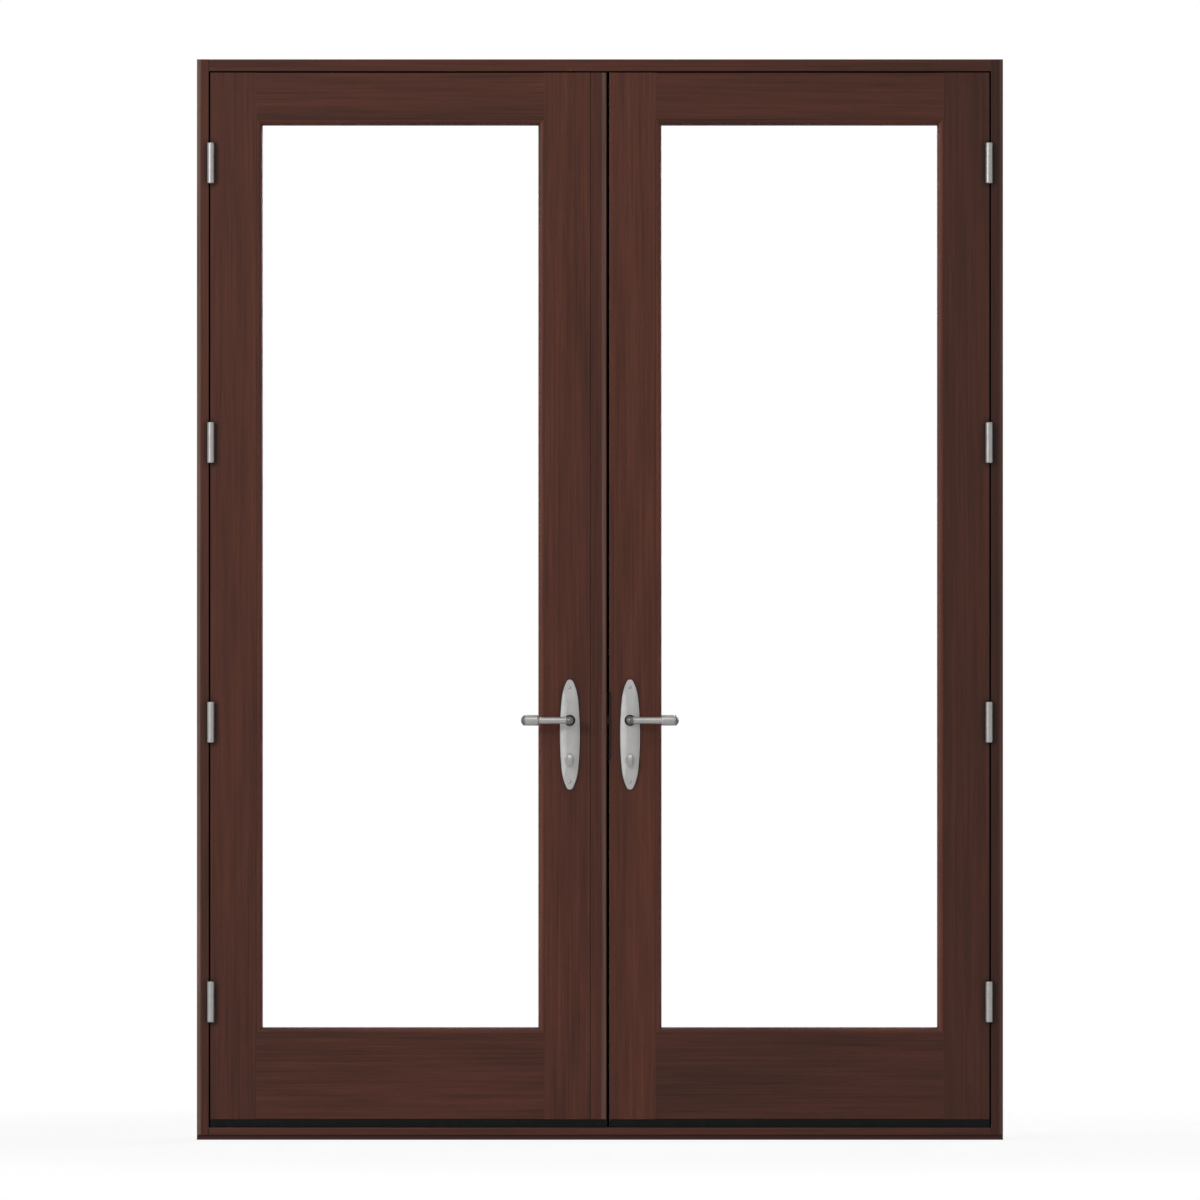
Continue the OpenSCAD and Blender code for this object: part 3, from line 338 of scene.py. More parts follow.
@dataclass(frozen=True)
class Relief:
    """How deep a finish's bumps are, and how far they show."""

    depth: float
    strength: float

    def press(self, graph: Graph, height: Wire) -> Wire:
        """The normal of a surface with these bumps."""
        return graph.bump(height, self.depth, self.strength)


@dataclass(frozen=True)
class Band:
    """A strip between two distances, with soft borders."""

    start: float
    end: float
    soft: float

    def mask(self, at: Wire) -> Wire:
        """One inside the strip and nought outside it."""
        return at.ease(self.start, self.start + self.soft) - at.ease(self.end - self.soft, self.end)


class Grain(Enum):
    """The way that a board's grain, or a metal's brushing, runs."""

    UPRIGHT = "upright"
    LEVEL = "level"
    MITRED = "mitred"


class Finish(ABC):
    """A finish that is put on pieces as one material."""

    name: str

    def material(self) -> bpy.types.Material:
        """Makes the finish's material, or finds it where it was made before.

        Returns:
            The material.
        """
        found = bpy.data.materials.get(self.name)
        if found is not None:
            return found
        made = bpy.data.materials.new(self.name)
        made.use_nodes = True
        graph = Graph(made.node_tree)
        graph.node("ShaderNodeOutputMaterial", {}, {"Surface": self.paint(graph)})
        return made

    def put_on(self, *pieces: bpy.types.Object) -> None:
        """Gives this finish to pieces."""
        for piece in pieces:
            piece.data.materials.clear()
            piece.data.materials.append(self.material())

    @abstractmethod
    def paint(self, graph: Graph) -> Wire:
        """Lays out the finish's nodes and gives the shader."""


@dataclass(frozen=True)
class StainedWood(Finish):
    """Dark stained hardwood under a satin lacquer, with its grain along the board."""

    name: str
    grain: Grain
    seed: float
    shade: float = 1.0
    middle: Point = (0.0, 0.0)
    half: Point = (1.0, 1.0)
    level_shade: float = 1.0
    # Span across X of a painted highlight band, if the board has one.
    highlight_band: Optional[Band] = None
    dark: Colour = Colour(54, 26, 16)
    light: Colour = Colour(88, 47, 34)
    # Colour of the pores, also of the painted shade in corners and of the rings on sawn ends.
    pore_and_shade: Colour = Colour(32, 15, 10)
    end: Colour = Colour(54, 28, 21)
    # Colour of the lighter edges: partly worn stain, partly painted highlight.
    arris: Colour = Colour(92, 68, 60)
    # Colour of the painted highlight band.
    lighter_tone: Colour = Colour(92, 68, 60)
    edge_r: float = 0.0016
    # Reach and strength of the painted shade in corners.
    corner_shade_r: float = 0.015
    corner_shade_start: float = 0.03
    corner_shade_full: float = 0.3
    corner_shade_depth: float = 0.8
    end_start: float = 0.85
    end_full: float = 0.97
    end_lift: float = 1.6
    shift: float = 0.731
    figure: Layer = Layer(6.0, 1.3, 0.10)
    band: Layer = Layer(44.0, 1.0, 0.07, rough=0.6)
    streak: Layer = Layer(170.0, 1.5, 0.016, 3.0, 0.62)
    fibre: Layer = Layer(1250.0, 0.6, 0.02)
    dash: Layer = Layer(1900.0, stretch=0.05, detail=1.0)
    rings: Layer = Layer(420.0, detail=3.0, rough=0.7)
    pore_start: float = 0.60
    pore_full: float = 0.70
    pore_depth: float = 0.4
    highlight_share: Swing = Swing(0.6, 1.5)
    wear_and_highlight: Swing = Swing(0.35, 1.2)
    sheen: Swing = Swing(0.44, 0.16)
    pore_sheen: float = 0.10
    figure_sheen: float = 0.08
    specular: float = 0.2
    fibre_rise: float = 0.35
    streak_rise: float = 0.3
    pore_fall: float = 0.9
    relief: Relief = Relief(0.00025, 0.25)

    def directions(self, x: Wire, z: Wire) -> tuple[Wire, Wire, Term]:
        """Says which way the grain runs at a point.

        Args:
            x: the point's place across the doors.
            z: its height.

        Returns:
            The distance along the grain, the distance across it, and one where it runs level.
        """
        if self.grain is Grain.UPRIGHT:
            return z, x, 0.0
        if self.grain is Grain.LEVEL:
            return x, z, 1.0
        to_side = self.half[0] - abs(x - self.middle[0])
        to_end = self.half[1] - abs(z - self.middle[1])
        level = to_side > to_end
        return z + level * (x - z), x + level * (z - x), level

    def end_mask(self, graph: Graph, normal: Wire) -> Term:
        """Finds the sawn ends of the board.

        Args:
            graph: the material's graph.
            normal: the way that the surface faces.

        Returns:
            One on the ends and nought elsewhere.
        """
        facing = graph.split(normal)
        if self.grain is Grain.UPRIGHT:
            return abs(facing[2]).ease(self.end_start, self.end_full)
        if self.grain is Grain.LEVEL:
            return abs(facing[0]).ease(self.end_start, self.end_full)
        return 0.0

    def paint(self, graph: Graph) -> Wire:
        """Lays out figure, streaks, fibres and pores under the lacquer.

        Args:
            graph: the material's graph.

        Returns:
            The shader.
        """
        place = graph.node("ShaderNodeTexCoord")
        x, y, z = graph.split(place.out("Object"))
        along, across, level = self.directions(x, z)
        drift = self.shift * self.seed
        side = across + drift
        figure = self.figure.read(graph, graph.join(side, y, along * self.figure.stretch))
        band = self.band.read(graph, graph.join(side + drift, y, along * self.band.stretch))
        streak = self.streak.read(graph, graph.join(side, y, along * self.streak.stretch + drift))
        fibre = self.fibre.read(graph, graph.join(side, y, along * self.fibre.stretch))
        dash = self.dash.read(graph, graph.join(side, y + drift, along * self.dash.stretch))
        pores = dash.ease(self.pore_start, self.pore_full)
        tone = 0.5 + figure.sway(self.figure.weight) + band.sway(self.band.weight)
        tone = tone + streak.sway(self.streak.weight) + fibre.sway(self.fibre.weight)
        stain = graph.tint(tone, self.dark.rgba(self.shade), self.light.rgba(self.shade))
        # Painted light and shade on the glazing beads: the upright lengths are lighter than the boards, the
        # level lengths darker than the upright ones.
        if self.grain is Grain.MITRED:
            lower = self.shade * self.level_shade
            stain = graph.tint(level, stain, graph.tint(tone, self.dark.rgba(lower), self.light.rgba(lower)))
        # Painted highlight: a lighter band over a span of X, along the jambs' outer edges and the astragal's
        # free edge.
        if self.highlight_band is not None:
            painted_highlight = self.highlight_band.mask(x) * self.highlight_share.under(streak)
            stain = graph.tint(painted_highlight, stain, self.lighter_tone.rgba())
        # Lighter edges: partly wear of the stain, partly a painted highlight along the arrises.
        edge_wear_and_highlight = graph.sharp_edges(self.edge_r) * self.wear_and_highlight.under(band)
        stain = graph.tint(edge_wear_and_highlight, stain, self.arris.rgba(self.shade))
        # Painted shade: the stain darkens in corners, gaps and round the fittings, where shade falls.
        painted_shade = graph.corner_shade(self.corner_shade_r).ease(self.corner_shade_start, self.corner_shade_full)
        sunk = (pores * self.pore_depth).most(painted_shade * self.corner_shade_depth)
        body = graph.tint(sunk, stain, self.pore_and_shade.rgba(self.shade))
        rings = self.rings.read(graph, graph.join(x, y, z))
        sawn = graph.tint(rings, self.pore_and_shade.rgba(self.shade), self.end.rgba(self.end_lift * self.shade))
        height = fibre * self.fibre_rise + streak * self.streak_rise - pores * self.pore_fall
        sockets = {
            "Base Color": graph.tint(self.end_mask(graph, place.out("Normal")), body, sawn),
            "Roughness": self.sheen.under(fibre) + pores * self.pore_sheen + figure.sway(self.figure_sheen),
            "Specular IOR Level": self.specular,
            "Normal": self.relief.press(graph, height),
        }
        return graph.node("ShaderNodeBsdfPrincipled", {}, sockets).out(0)


@dataclass(frozen=True)
class BrushedMetal(Finish):
    """A solid metal with fine brushing and a faint unevenness of its sheen."""

    name: str
    grain: Grain
    dark: Colour
    light: Colour
    rough: float = 0.36
    metallic: float = 0.6
    # Colour of the lighter edges: partly polish, partly painted highlight.
    polish_and_highlight: Colour = Colour(214, 213, 211)
    # Colour and reach of the painted shade round a plate's rim.
    rim_shade_colour: Colour = Colour(70, 69, 68)
    rim: float = 0.0
    rim_start: float = 0.012
    rim_full: float = 0.09
    edge_r: float = 0.0008
    hair: Layer = Layer(2600.0, 0.8, 0.03, rough=0.6)
    cloud: Layer = Layer(55.0, 0.8, detail=3.0)
    polish_and_highlight_share: Swing = Swing(0.4, 0.8)
    hair_sheen: float = 0.16
    cloud_sheen: float = 0.12
    relief: Relief = Relief(0.00006, 0.35)

    def shade_and_collar(self, graph: Graph, lighter_tone: Wire, x: Wire, y: Wire, z: Wire) -> Wire:
        """Leaves the metal as it is; the lever's finish lays its painted shade and its blackened collar on
        here.

        Args:
            graph: the material's graph.
            lighter_tone: the colour of the bare metal.
            x: the point's place across the doors.
            y: its depth.
            z: its height.

        Returns:
            The colour with its darker places.
        """
        return lighter_tone

    def paint(self, graph: Graph) -> Wire:
        """Lays out the brushing, the cloudy sheen, the lighter edges, partly polish and partly painted
        highlight, and the painted shade at the rim.

        Args:
            graph: the material's graph.

        Returns:
            The shader.
        """
        place = graph.node("ShaderNodeTexCoord")
        x, y, z = graph.split(place.out("Object"))
        if self.grain is Grain.UPRIGHT:
            lines = graph.join(x, y, z * self.hair.stretch)
        else:
            lines = graph.join(x * self.hair.stretch, y, z)
        hair = self.hair.read(graph, lines)
        cloud = self.cloud.read(graph, graph.join(x, y, z))
        tone = 0.5 + hair.sway(self.hair.weight) + cloud.sway(self.cloud.weight)
        body = graph.tint(tone, self.dark.rgba(), self.light.rgba())
        # Lighter edges: partly polish, partly a painted highlight on the rims of plates and levers.
        bright = graph.sharp_edges(self.edge_r) * self.polish_and_highlight_share.under(cloud)
        body = graph.tint(bright, body, self.polish_and_highlight.rgba())
        # Painted shade: the colour darkens where the surface turns sideways, round the plates' rims.
        if self.rim > 0.0:
            tilt = 1.0 - abs(graph.split(place.out("Normal"))[1])
            painted_rim_shade = tilt.ease(self.rim_start, self.rim_full) * self.rim
            body = graph.tint(painted_rim_shade, body, self.rim_shade_colour.rgba())
        sockets = {
            "Base Color": self.shade_and_collar(graph, body, x, y, z),
            "Metallic": self.metallic,
            "Roughness": self.rough + hair.sway(self.hair_sheen) + cloud.sway(self.cloud_sheen),
            "Normal": self.relief.press(graph, hair),
        }
        return graph.node("ShaderNodeBsdfPrincipled", {}, sockets).out(0)


@dataclass(frozen=True)
class LeverMetal(BrushedMetal):
    """Brushed metal of a lever with a blackened collar against the plate, and painted shade on its hub and
    its tip.
    """

    leaf_middle: float = -0.035775
    collar_out: float = 0.0345
    axis: Point = (0.0676, 0.9416)
    hub_r: float = 0.0105
    soft: float = 0.0035
    collar: Colour = Colour(24, 22, 21)
    # Colour of the painted shade on the hub.
    hub_shade: Colour = Colour(104, 102, 100)
    tip_start: float = 0.098
    tip_full: float = 0.105
    # Colour of the painted shade on the tip.
    tip_shade: Colour = Colour(92, 91, 90)

    def shade_and_collar(self, graph: Graph, lighter_tone: Wire, x: Wire, y: Wire, z: Wire) -> Wire:
        """Paints shade on the hub and on the tip, and blackens the collar.

        Args:
            graph: the material's graph.
            lighter_tone: the colour of the bare metal.
            x: the point's place across the doors.
            y: its depth.
            z: its height.

        Returns:
            The colour with its darker places.
        """
        side = abs(x) - self.axis[0]
        up = z - self.axis[1]
        # Painted shade on the hub and on the lever's tip.
        away = (side * side + up * up).ease((self.hub_r - self.soft) ** 2, self.hub_r**2)
        lever = graph.tint(away, self.hub_shade.rgba(), lighter_tone)
        lever = graph.tint(side.ease(self.tip_start, self.tip_full), lever, self.tip_shade.rgba())
        return graph.tint(abs(y - self.leaf_middle) > self.collar_out, self.collar.rgba(), lever)


@dataclass(frozen=True)
class DarkBronze(Finish):
    """Bronze coloured metal of the sill and the lock's edge, with the fine lines of its drawing."""

    name: str = "dark_bronze"
    dark: Colour = Colour(51, 28, 25)
    light: Colour = Colour(72, 44, 41)
    lines: Layer = Layer(900.0, 1.1, 0.01, rough=0.6)
    speck: Layer = Layer(1500.0, 0.6)
    rib_pitch: float = 0.006
    rib_from: float = 0.004
    metallic: float = 0.2
    sheen: Swing = Swing(0.42, 0.2)
    line_sheen: float = 0.1
    specular: float = 0.15
    line_rise: float = 0.2
    speck_rise: float = 0.1
    relief: Relief = Relief(0.0003, 0.4)

    def paint(self, graph: Graph) -> Wire:
        """Lays out drawn lines, a powdery sheen and the ribs of the sill's slope.

        Args:
            graph: the material's graph.

        Returns:
            The shader.
        """
        x, y, z = graph.split(graph.node("ShaderNodeTexCoord").out("Object"))
        lines = self.lines.read(graph, graph.join(x * self.lines.stretch, y, z))
        speck = self.speck.read(graph, graph.join(x, y, z))
        ribs = (y * (2.0 * math.pi / self.rib_pitch)).sine() * (y > self.rib_from)
        tone = 0.5 + lines.sway(self.lines.weight) + speck.sway(self.speck.weight)
        height = lines * self.line_rise + speck * self.speck_rise + ribs
        sockets = {
            "Base Color": graph.tint(tone, self.dark.rgba(), self.light.rgba()),
            "Metallic": self.metallic,
            "Roughness": self.sheen.under(speck) + lines.sway(self.line_sheen),
            "Specular IOR Level": self.specular,
            "Normal": self.relief.press(graph, height),
        }
        return graph.node("ShaderNodeBsdfPrincipled", {}, sockets).out(0)


@dataclass(frozen=True)
class SealRubber(Finish):
    """Black extruded rubber with a faint bloom and a fine moulded skin."""

    name: str = "seal_rubber"
    dark: Colour = Colour(12, 12, 12)
    light: Colour = Colour(26, 26, 26)
    bloom: Layer = Layer(60.0, detail=3.0, rough=0.6)
    skin: Layer = Layer(2400.0)
    tone: Swing = Swing(0.4, 1.4)
    sheen: Swing = Swing(0.58, 0.2)
    skin_sheen: float = 0.15
    specular: float = 0.08
    relief: Relief = Relief(0.0001, 0.4)

    def paint(self, graph: Graph) -> Wire:
        """Lays out the bloom and the skin.

        Args:
            graph: the material's graph.

        Returns:
            The shader.
        """
        place = graph.node("ShaderNodeTexCoord").out("Object")
        bloom = self.bloom.read(graph, place)
        skin = self.skin.read(graph, place)
        sockets = {
            "Base Color": graph.tint(self.tone.under(bloom), self.dark.rgba(), self.light.rgba()),
            "Roughness": self.sheen.under(bloom) + skin.sway(self.skin_sheen),
            "Specular IOR Level": self.specular,
            "Normal": self.relief.press(graph, skin),
        }
        return graph.node("ShaderNodeBsdfPrincipled", {}, sockets).out(0)


@dataclass(frozen=True)
class ClearGlass(Finish):
    """Float glass, with the slow wave that its rollers leave; lamps shine through it."""

    name: str = "float_glass"
    body: Colour = Colour(255, 255, 255)
    ior: float = 1.45
    wave: Layer = Layer(5.0, stretch=0.4, detail=1.0)
    relief: Relief = Relief(0.0002, 0.2)

    def paint(self, graph: Graph) -> Wire:
        """Lays out the glass, and clear air in its place for shadows.

        Args:
            graph: the material's graph.

        Returns:
            The shader.
        """
        x, y, z = graph.split(graph.node("ShaderNodeTexCoord").out("Object"))
        wave = self.wave.read(graph, graph.join(x, y, z * self.wave.stretch))
        sockets = {
            "Base Color": self.body.rgba(),
            "Roughness": 0.0,
            "IOR": self.ior,
            "Transmission Weight": 1.0,
            "Normal": self.relief.press(graph, wave),
        }
        glass = graph.node("ShaderNodeBsdfPrincipled", {}, sockets).out(0)
        air = graph.node("ShaderNodeBsdfTransparent").out(0)
        shadow = graph.node("ShaderNodeLightPath").out("Is Shadow Ray")
        return graph.node("ShaderNodeMixShader", {}, {0: shadow, 1: glass, 2: air}).out(0)


NICKEL_DARK = Colour(144, 143, 142)
NICKEL_LIGHT = Colour(170, 169, 168)
PLATE_DARK = Colour(158, 157, 156)
PLATE_LIGHT = Colour(184, 183, 182)
STEEL_DARK = Colour(128, 129, 130)
STEEL_LIGHT = Colour(150, 151, 152)
SPACER_DARK = Colour(148, 150, 150)
SPACER_LIGHT = Colour(170, 172, 172)
SATIN_NICKEL = BrushedMetal("nickel_satin_upright", Grain.UPRIGHT, NICKEL_DARK, NICKEL_LIGHT)
LEVER_NICKEL = LeverMetal("nickel_satin_level", Grain.LEVEL, NICKEL_DARK, NICKEL_LIGHT)
PLATE_NICKEL = BrushedMetal("nickel_satin_plate", Grain.UPRIGHT, PLATE_DARK, PLATE_LIGHT, rim=0.5)
PLAIN_STEEL = BrushedMetal("plain_steel_turned", Grain.LEVEL, STEEL_DARK, STEEL_LIGHT)
SPACER_METAL = BrushedMetal("spacer_aluminium", Grain.UPRIGHT, SPACER_DARK, SPACER_LIGHT)
BRONZE = DarkBronze()
RUBBER = SealRubber()
GLASS = ClearGlass()


class Moulding:
    """A mesh put together from straight lengths of one section or another."""

    def __init__(self, name: str) -> None:
        """Starts an empty mesh."""
        self.name = name
        self.mesh = bmesh.new()

    def run_x(self, section: Sequence[Point], start: float, end: float) -> None:
        """Adds a length along X; the section is in (y, z)."""
        self._run(section, start, end, lambda point, at: Vector((at, point[0], point[1])))

    def run_z(self, section: Sequence[Point], start: float, end: float) -> None:
        """Adds a length along Z; the section is in (x, y)."""
        self._run(section, start, end, lambda point, at: Vector((point[0], point[1], at)))

    def _run(
        self,
        section: Sequence[Point],
        start: float,
        end: float,
        place: Callable[[Point, float], Vector],
    ) -> None:
        """Adds a closed length of section.

        Args:
            section: the outline, in order.
            start: where the length starts.
            end: where it ends.
            place: turns a point of the outline and a distance into a place.
        """
        rings = [[self.mesh.verts.new(place(point, at)) for point in section] for at in (start, end)]
        count = len(section)
        for i in range(count):
            j = (i + 1) % count
            side = self.mesh.faces.new((rings[0][i], rings[0][j], rings[1][j], rings[1][i]))
            side.smooth = True
        for ring in rings:
            self.mesh.faces.new(ring)

    def dome(self, radius: float, rise: float, sunk: float, steps: int = 32, rings: int = 5) -> None:
        """Adds a low dome about Z with a short skirt below it.

        Args:
            radius: the dome's radius at its rim, which lies at height nought.
            rise: the height of its top.
            sunk: how far the skirt goes down.
            steps: points round a ring.
            rings: rings from the top to the rim.
        """
        top = self.mesh.verts.new((0.0, 0.0, rise))
        levels = [(radius * k / rings, rise * (1.0 - (k / rings) ** 2)) for k in range(1, rings + 1)]
        levels.append((radius, -sunk))
        turns = [2.0 * math.pi * k / steps for k in range(steps)]
        made = []
        for r, z in levels:
            made.append([self.mesh.verts.new((r * math.cos(t), r * math.sin(t), z)) for t in turns])
        for k in range(steps):
            nxt = (k + 1) % steps
            self.mesh.faces.new((top, made[0][k], made[0][nxt])).smooth = True
            for upper, lower in zip(made, made[1:]):
                self.mesh.faces.new((upper[k], lower[k], lower[nxt], upper[nxt])).smooth = True
        self.mesh.faces.new(made[-1])

    def carve(self, cutter: Moulding) -> None:
        """Cuts another mesh, which is used up, out of this one.

        Args:
            cutter: what is taken away.
        """
        pieces = []
        for mould in (self, cutter):
            bmesh.ops.recalc_face_normals(mould.mesh, faces=mould.mesh.faces)
            data = bpy.data.meshes.new(mould.name)
            mould.mesh.to_mesh(data)
            mould.mesh.free()
            pieces.append(bpy.data.objects.new(mould.name, data))
            bpy.context.scene.collection.objects.link(pieces[-1])
        cut = pieces[0].modifiers.new("recess", "BOOLEAN")
        cut.operation = "DIFFERENCE"
        cut.solver = "EXACT"
        cut.object = pieces[1]
        shaped = pieces[0].evaluated_get(bpy.context.evaluated_depsgraph_get())
        self.mesh = bmesh.new()
        self.mesh.from_mesh(shaped.to_mesh())
        shaped.to_mesh_clear()
        for piece in pieces:
            data = piece.data
            bpy.data.objects.remove(piece)
            bpy.data.meshes.remove(data)

    def seat(self, at: Vector, out: Vector) -> None:
        """Moves the mesh so that its Z points out of a face at a place."""
        turn = Matrix.Translation(at) @ out.to_track_quat("Z", "Y").to_matrix().to_4x4()
        bmesh.ops.transform(self.mesh, matrix=turn, verts=self.mesh.verts)

    def finish(self, finish: Finish, body: str, slot: str, *stands_for: str) -> None:
        """Closes the mesh and makes a piece of it.

        Args:
            finish: what the piece is made of.
            body: the moving body that it rides on.
            slot: the record's slot that its finish belongs to; not used.
            stands_for: the solids that it is shown in place of.
        """
        bmesh.ops.recalc_face_normals(self.mesh, faces=self.mesh.faces)
        for edge in self.mesh.edges:
            edge.smooth = edge.calc_face_angle(math.pi) < SMOOTH_BELOW
        data = bpy.data.meshes.new(self.name)
        self.mesh.to_mesh(data)
        self.mesh.free()
        piece = bpy.data.objects.new(self.name, data)
        bpy.context.scene.collection.objects.link(piece)
        finish.put_on(piece)
        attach(piece, body)
        if stands_for:
            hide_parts(*stands_for)
        LOG.info("made %s, which rides on %s", self.name, body)


@dataclass(frozen=True)
class Bulb:
    """The section of a bulb seal: a flat foot and a full D that presses on a face."""

    start: float
    end: float
    reach: float
    foot: float = 0.0012
    share: float = 0.92
    steps: int = 18

    def outline(self) -> list[Point]:
        """Draws the section.

        Returns:
            Points as (distance along the face that carries the seal, distance out from it).
        """
        middle = (self.start + self.end) / 2.0
        half = (self.end - self.start) / 2.0 * self.share
        rise = self.reach - self.foot
        points = [(self.start, 0.0), (self.end, 0.0), (self.end, self.foot)]
        for step in range(self.steps + 1):
            turn = math.pi * step / self.steps
            points.append((middle + half * math.cos(turn), self.foot + rise * math.sin(turn)))
        points.append((self.start, self.foot))
        return points


@dataclass(frozen=True)
class ScrewHead:
    """A low oval screw head with a cross recess, let into a metal face."""

    radius: float = 0.0034
    rise: float = 0.0005
    sunk: float = 0.0004
    slot_half: float = 0.0021
    slot_thick: float = 0.00045
    slot_foot: float = -0.0001

    def cross(self) -> list[Point]:
        """Draws the recess.

        Returns:
            The twelve corners of a cross, in order.
        """
        far, near = self.slot_half, self.slot_thick
        arm = ((near, near), (near, far), (-near, far))
        points: list[Point] = []
        for turn in range(4):
            for x, y in arm:
                for _ in range(turn):
                    x, y = -y, x
                points.append((x, y))
        return points

    def drive(self, name: str, at: Vector, out: Vector, finish: Finish, body: str, slot: str) -> None:
        """Makes the head on a face.

        Args:
            name: the piece's name.
            at: the middle of the head, on the face.
            out: the way that the face looks.
            finish: what the screw is made of.
            body: the moving body that it rides on.
            slot: the record's slot that its finish belongs to.
        """
        head = Moulding(name)
        head.dome(self.radius, self.rise, self.sunk)
        recess = Moulding(f"{name}_recess")
        recess.run_z(self.cross(), self.slot_foot, 2.0 * self.rise)
        head.carve(recess)
        head.seat(at, out)
        head.finish(finish, body, slot)


class Assembly(ABC):
    """A sub-assembly that makes its own pieces and dresses its solids."""

    @abstractmethod
    def build(self) -> None:
        """Makes the pieces that the solids lack."""

    @abstractmethod
    def dress(self, nodes: Nodes) -> None:
        """Puts finishes on the solids."""


def dress_nodes(nodes: Nodes, finish: Finish, *names: str) -> None:
    """Puts one finish on solids by their names.

    Args:
        nodes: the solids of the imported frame.
        finish: what they are made of.
        names: which of them.
    """
    for name in names:
        finish.put_on(nodes[name])
        LOG.info("dressed %s as %s", name, finish.name)


@dataclass
class DoorFrame(Assembly):
    """Jambs, head, sill, hinges' fixed halves and the seal against the stops."""

    seed: float = 1.0
    rabbet_x: float = 0.877875
    head_z: float = 2.3987
    sill_top: float = SILL_TOP
    stop_y: float = -0.00755
    seal_gap: float = 0.006
    seal_w: float = 0.010
    seal_clear: float = 0.0004
    touch: float = TOUCH
    keeper_t: float = 0.0015
    keeper_screw_rise: float = 0.0003
    keeper_screw_share: float = 0.72
    rim_near: float = 0.894
    rim_far: float = 0.911
    rim_soft: float = 0.006
    # Colours of the painted highlight along each jamb's outer edge.
    left_rim_highlight: Colour = Colour(124, 98, 86)
    right_rim_highlight: Colour = Colour(86, 59, 52)
    # Tones of the frame's boards: partly their own, partly painted shade, darker on the right where the light
    # falls off.
    left_shade: float = 0.95
    right_shade: float = 0.55
    head_shade: float = 0.98
    nosing_shade: float = 0.95

    def build(self) -> None:
        """Makes the seal against the stops in three lengths, and the screws of the bolts' keepers."""
        outline = Bulb(self.seal_clear, self.seal_w, self.seal_gap - self.touch).outline()
        seal = Moulding("frame_seal")
        foot = self.sill_top + self.seal_clear
        top = self.head_z - self.seal_clear
        for side in (-1.0, 1.0):
            section = [(side * (self.rabbet_x - across), self.stop_y - out) for across, out in outline]
            seal.run_z(section, foot, top)
        end = self.rabbet_x - self.seal_w - self.seal_clear
        seal.run_x([(self.stop_y - out, self.head_z - across) for across, out in outline], -end, end)
        seal.finish(RUBBER, "frame", "black_rubber", "frame_weatherstrip")
        low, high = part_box("bolt_keepers")
        screw = ScrewHead(rise=self.keeper_screw_rise)
        for name, z, out in (("top", high.z, -1.0), ("bottom", low.z, 1.0)):
            face = Vector(((low.x + high.x) / 2.0, (low.y + high.y) / 2.0, z + out * self.keeper_t))
            for hand, way in (("left", -1.0), ("right", 1.0)):
                at = face + Vector((way * (high.x - low.x) * self.keeper_screw_share / 2.0, 0.0, 0.0))
                way_out = Vector((0.0, 0.0, out))
                screw.drive(f"{name}_keeper_{hand}_screw", at, way_out, PLAIN_STEEL, "frame", "plain_steel")

    def dress(self, nodes: Nodes) -> None:
        """Puts wood, metal and steel on the frame's solids.

        Args:
            nodes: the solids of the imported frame.
        """
        left_rim = Band(-self.rim_far, -self.rim_near, self.rim_soft)
        right_rim = Band(self.rim_near, self.rim_far, self.rim_soft)
        jambs = (
            ("left_jamb", self.left_shade, left_rim, self.left_rim_highlight),
            ("right_jamb", self.right_shade, right_rim, self.right_rim_highlight),
        )
        for place, (name, shade, rim, lighter_tone) in enumerate(jambs):
            seed = self.seed + place
            wood = StainedWood(f"wood_{name}", Grain.UPRIGHT, seed, shade, highlight_band=rim, lighter_tone=lighter_tone)
            dress_nodes(nodes, wood, name)
        head = StainedWood("wood_head", Grain.LEVEL, self.seed + 2.0, self.head_shade)
        nosing = StainedWood("wood_nosing", Grain.LEVEL, self.seed + 3.0, self.nosing_shade)
        dress_nodes(nodes, head, "head_jamb")
        dress_nodes(nodes, nosing, "sill_nosing")
        dress_nodes(nodes, BRONZE, "threshold")
        dress_nodes(nodes, SATIN_NICKEL, "left_frame_hinge_plates", "right_frame_hinge_plates", "hinge_pins")
        dress_nodes(nodes, PLAIN_STEEL, "frame_hinge_screws", "bolt_keepers")


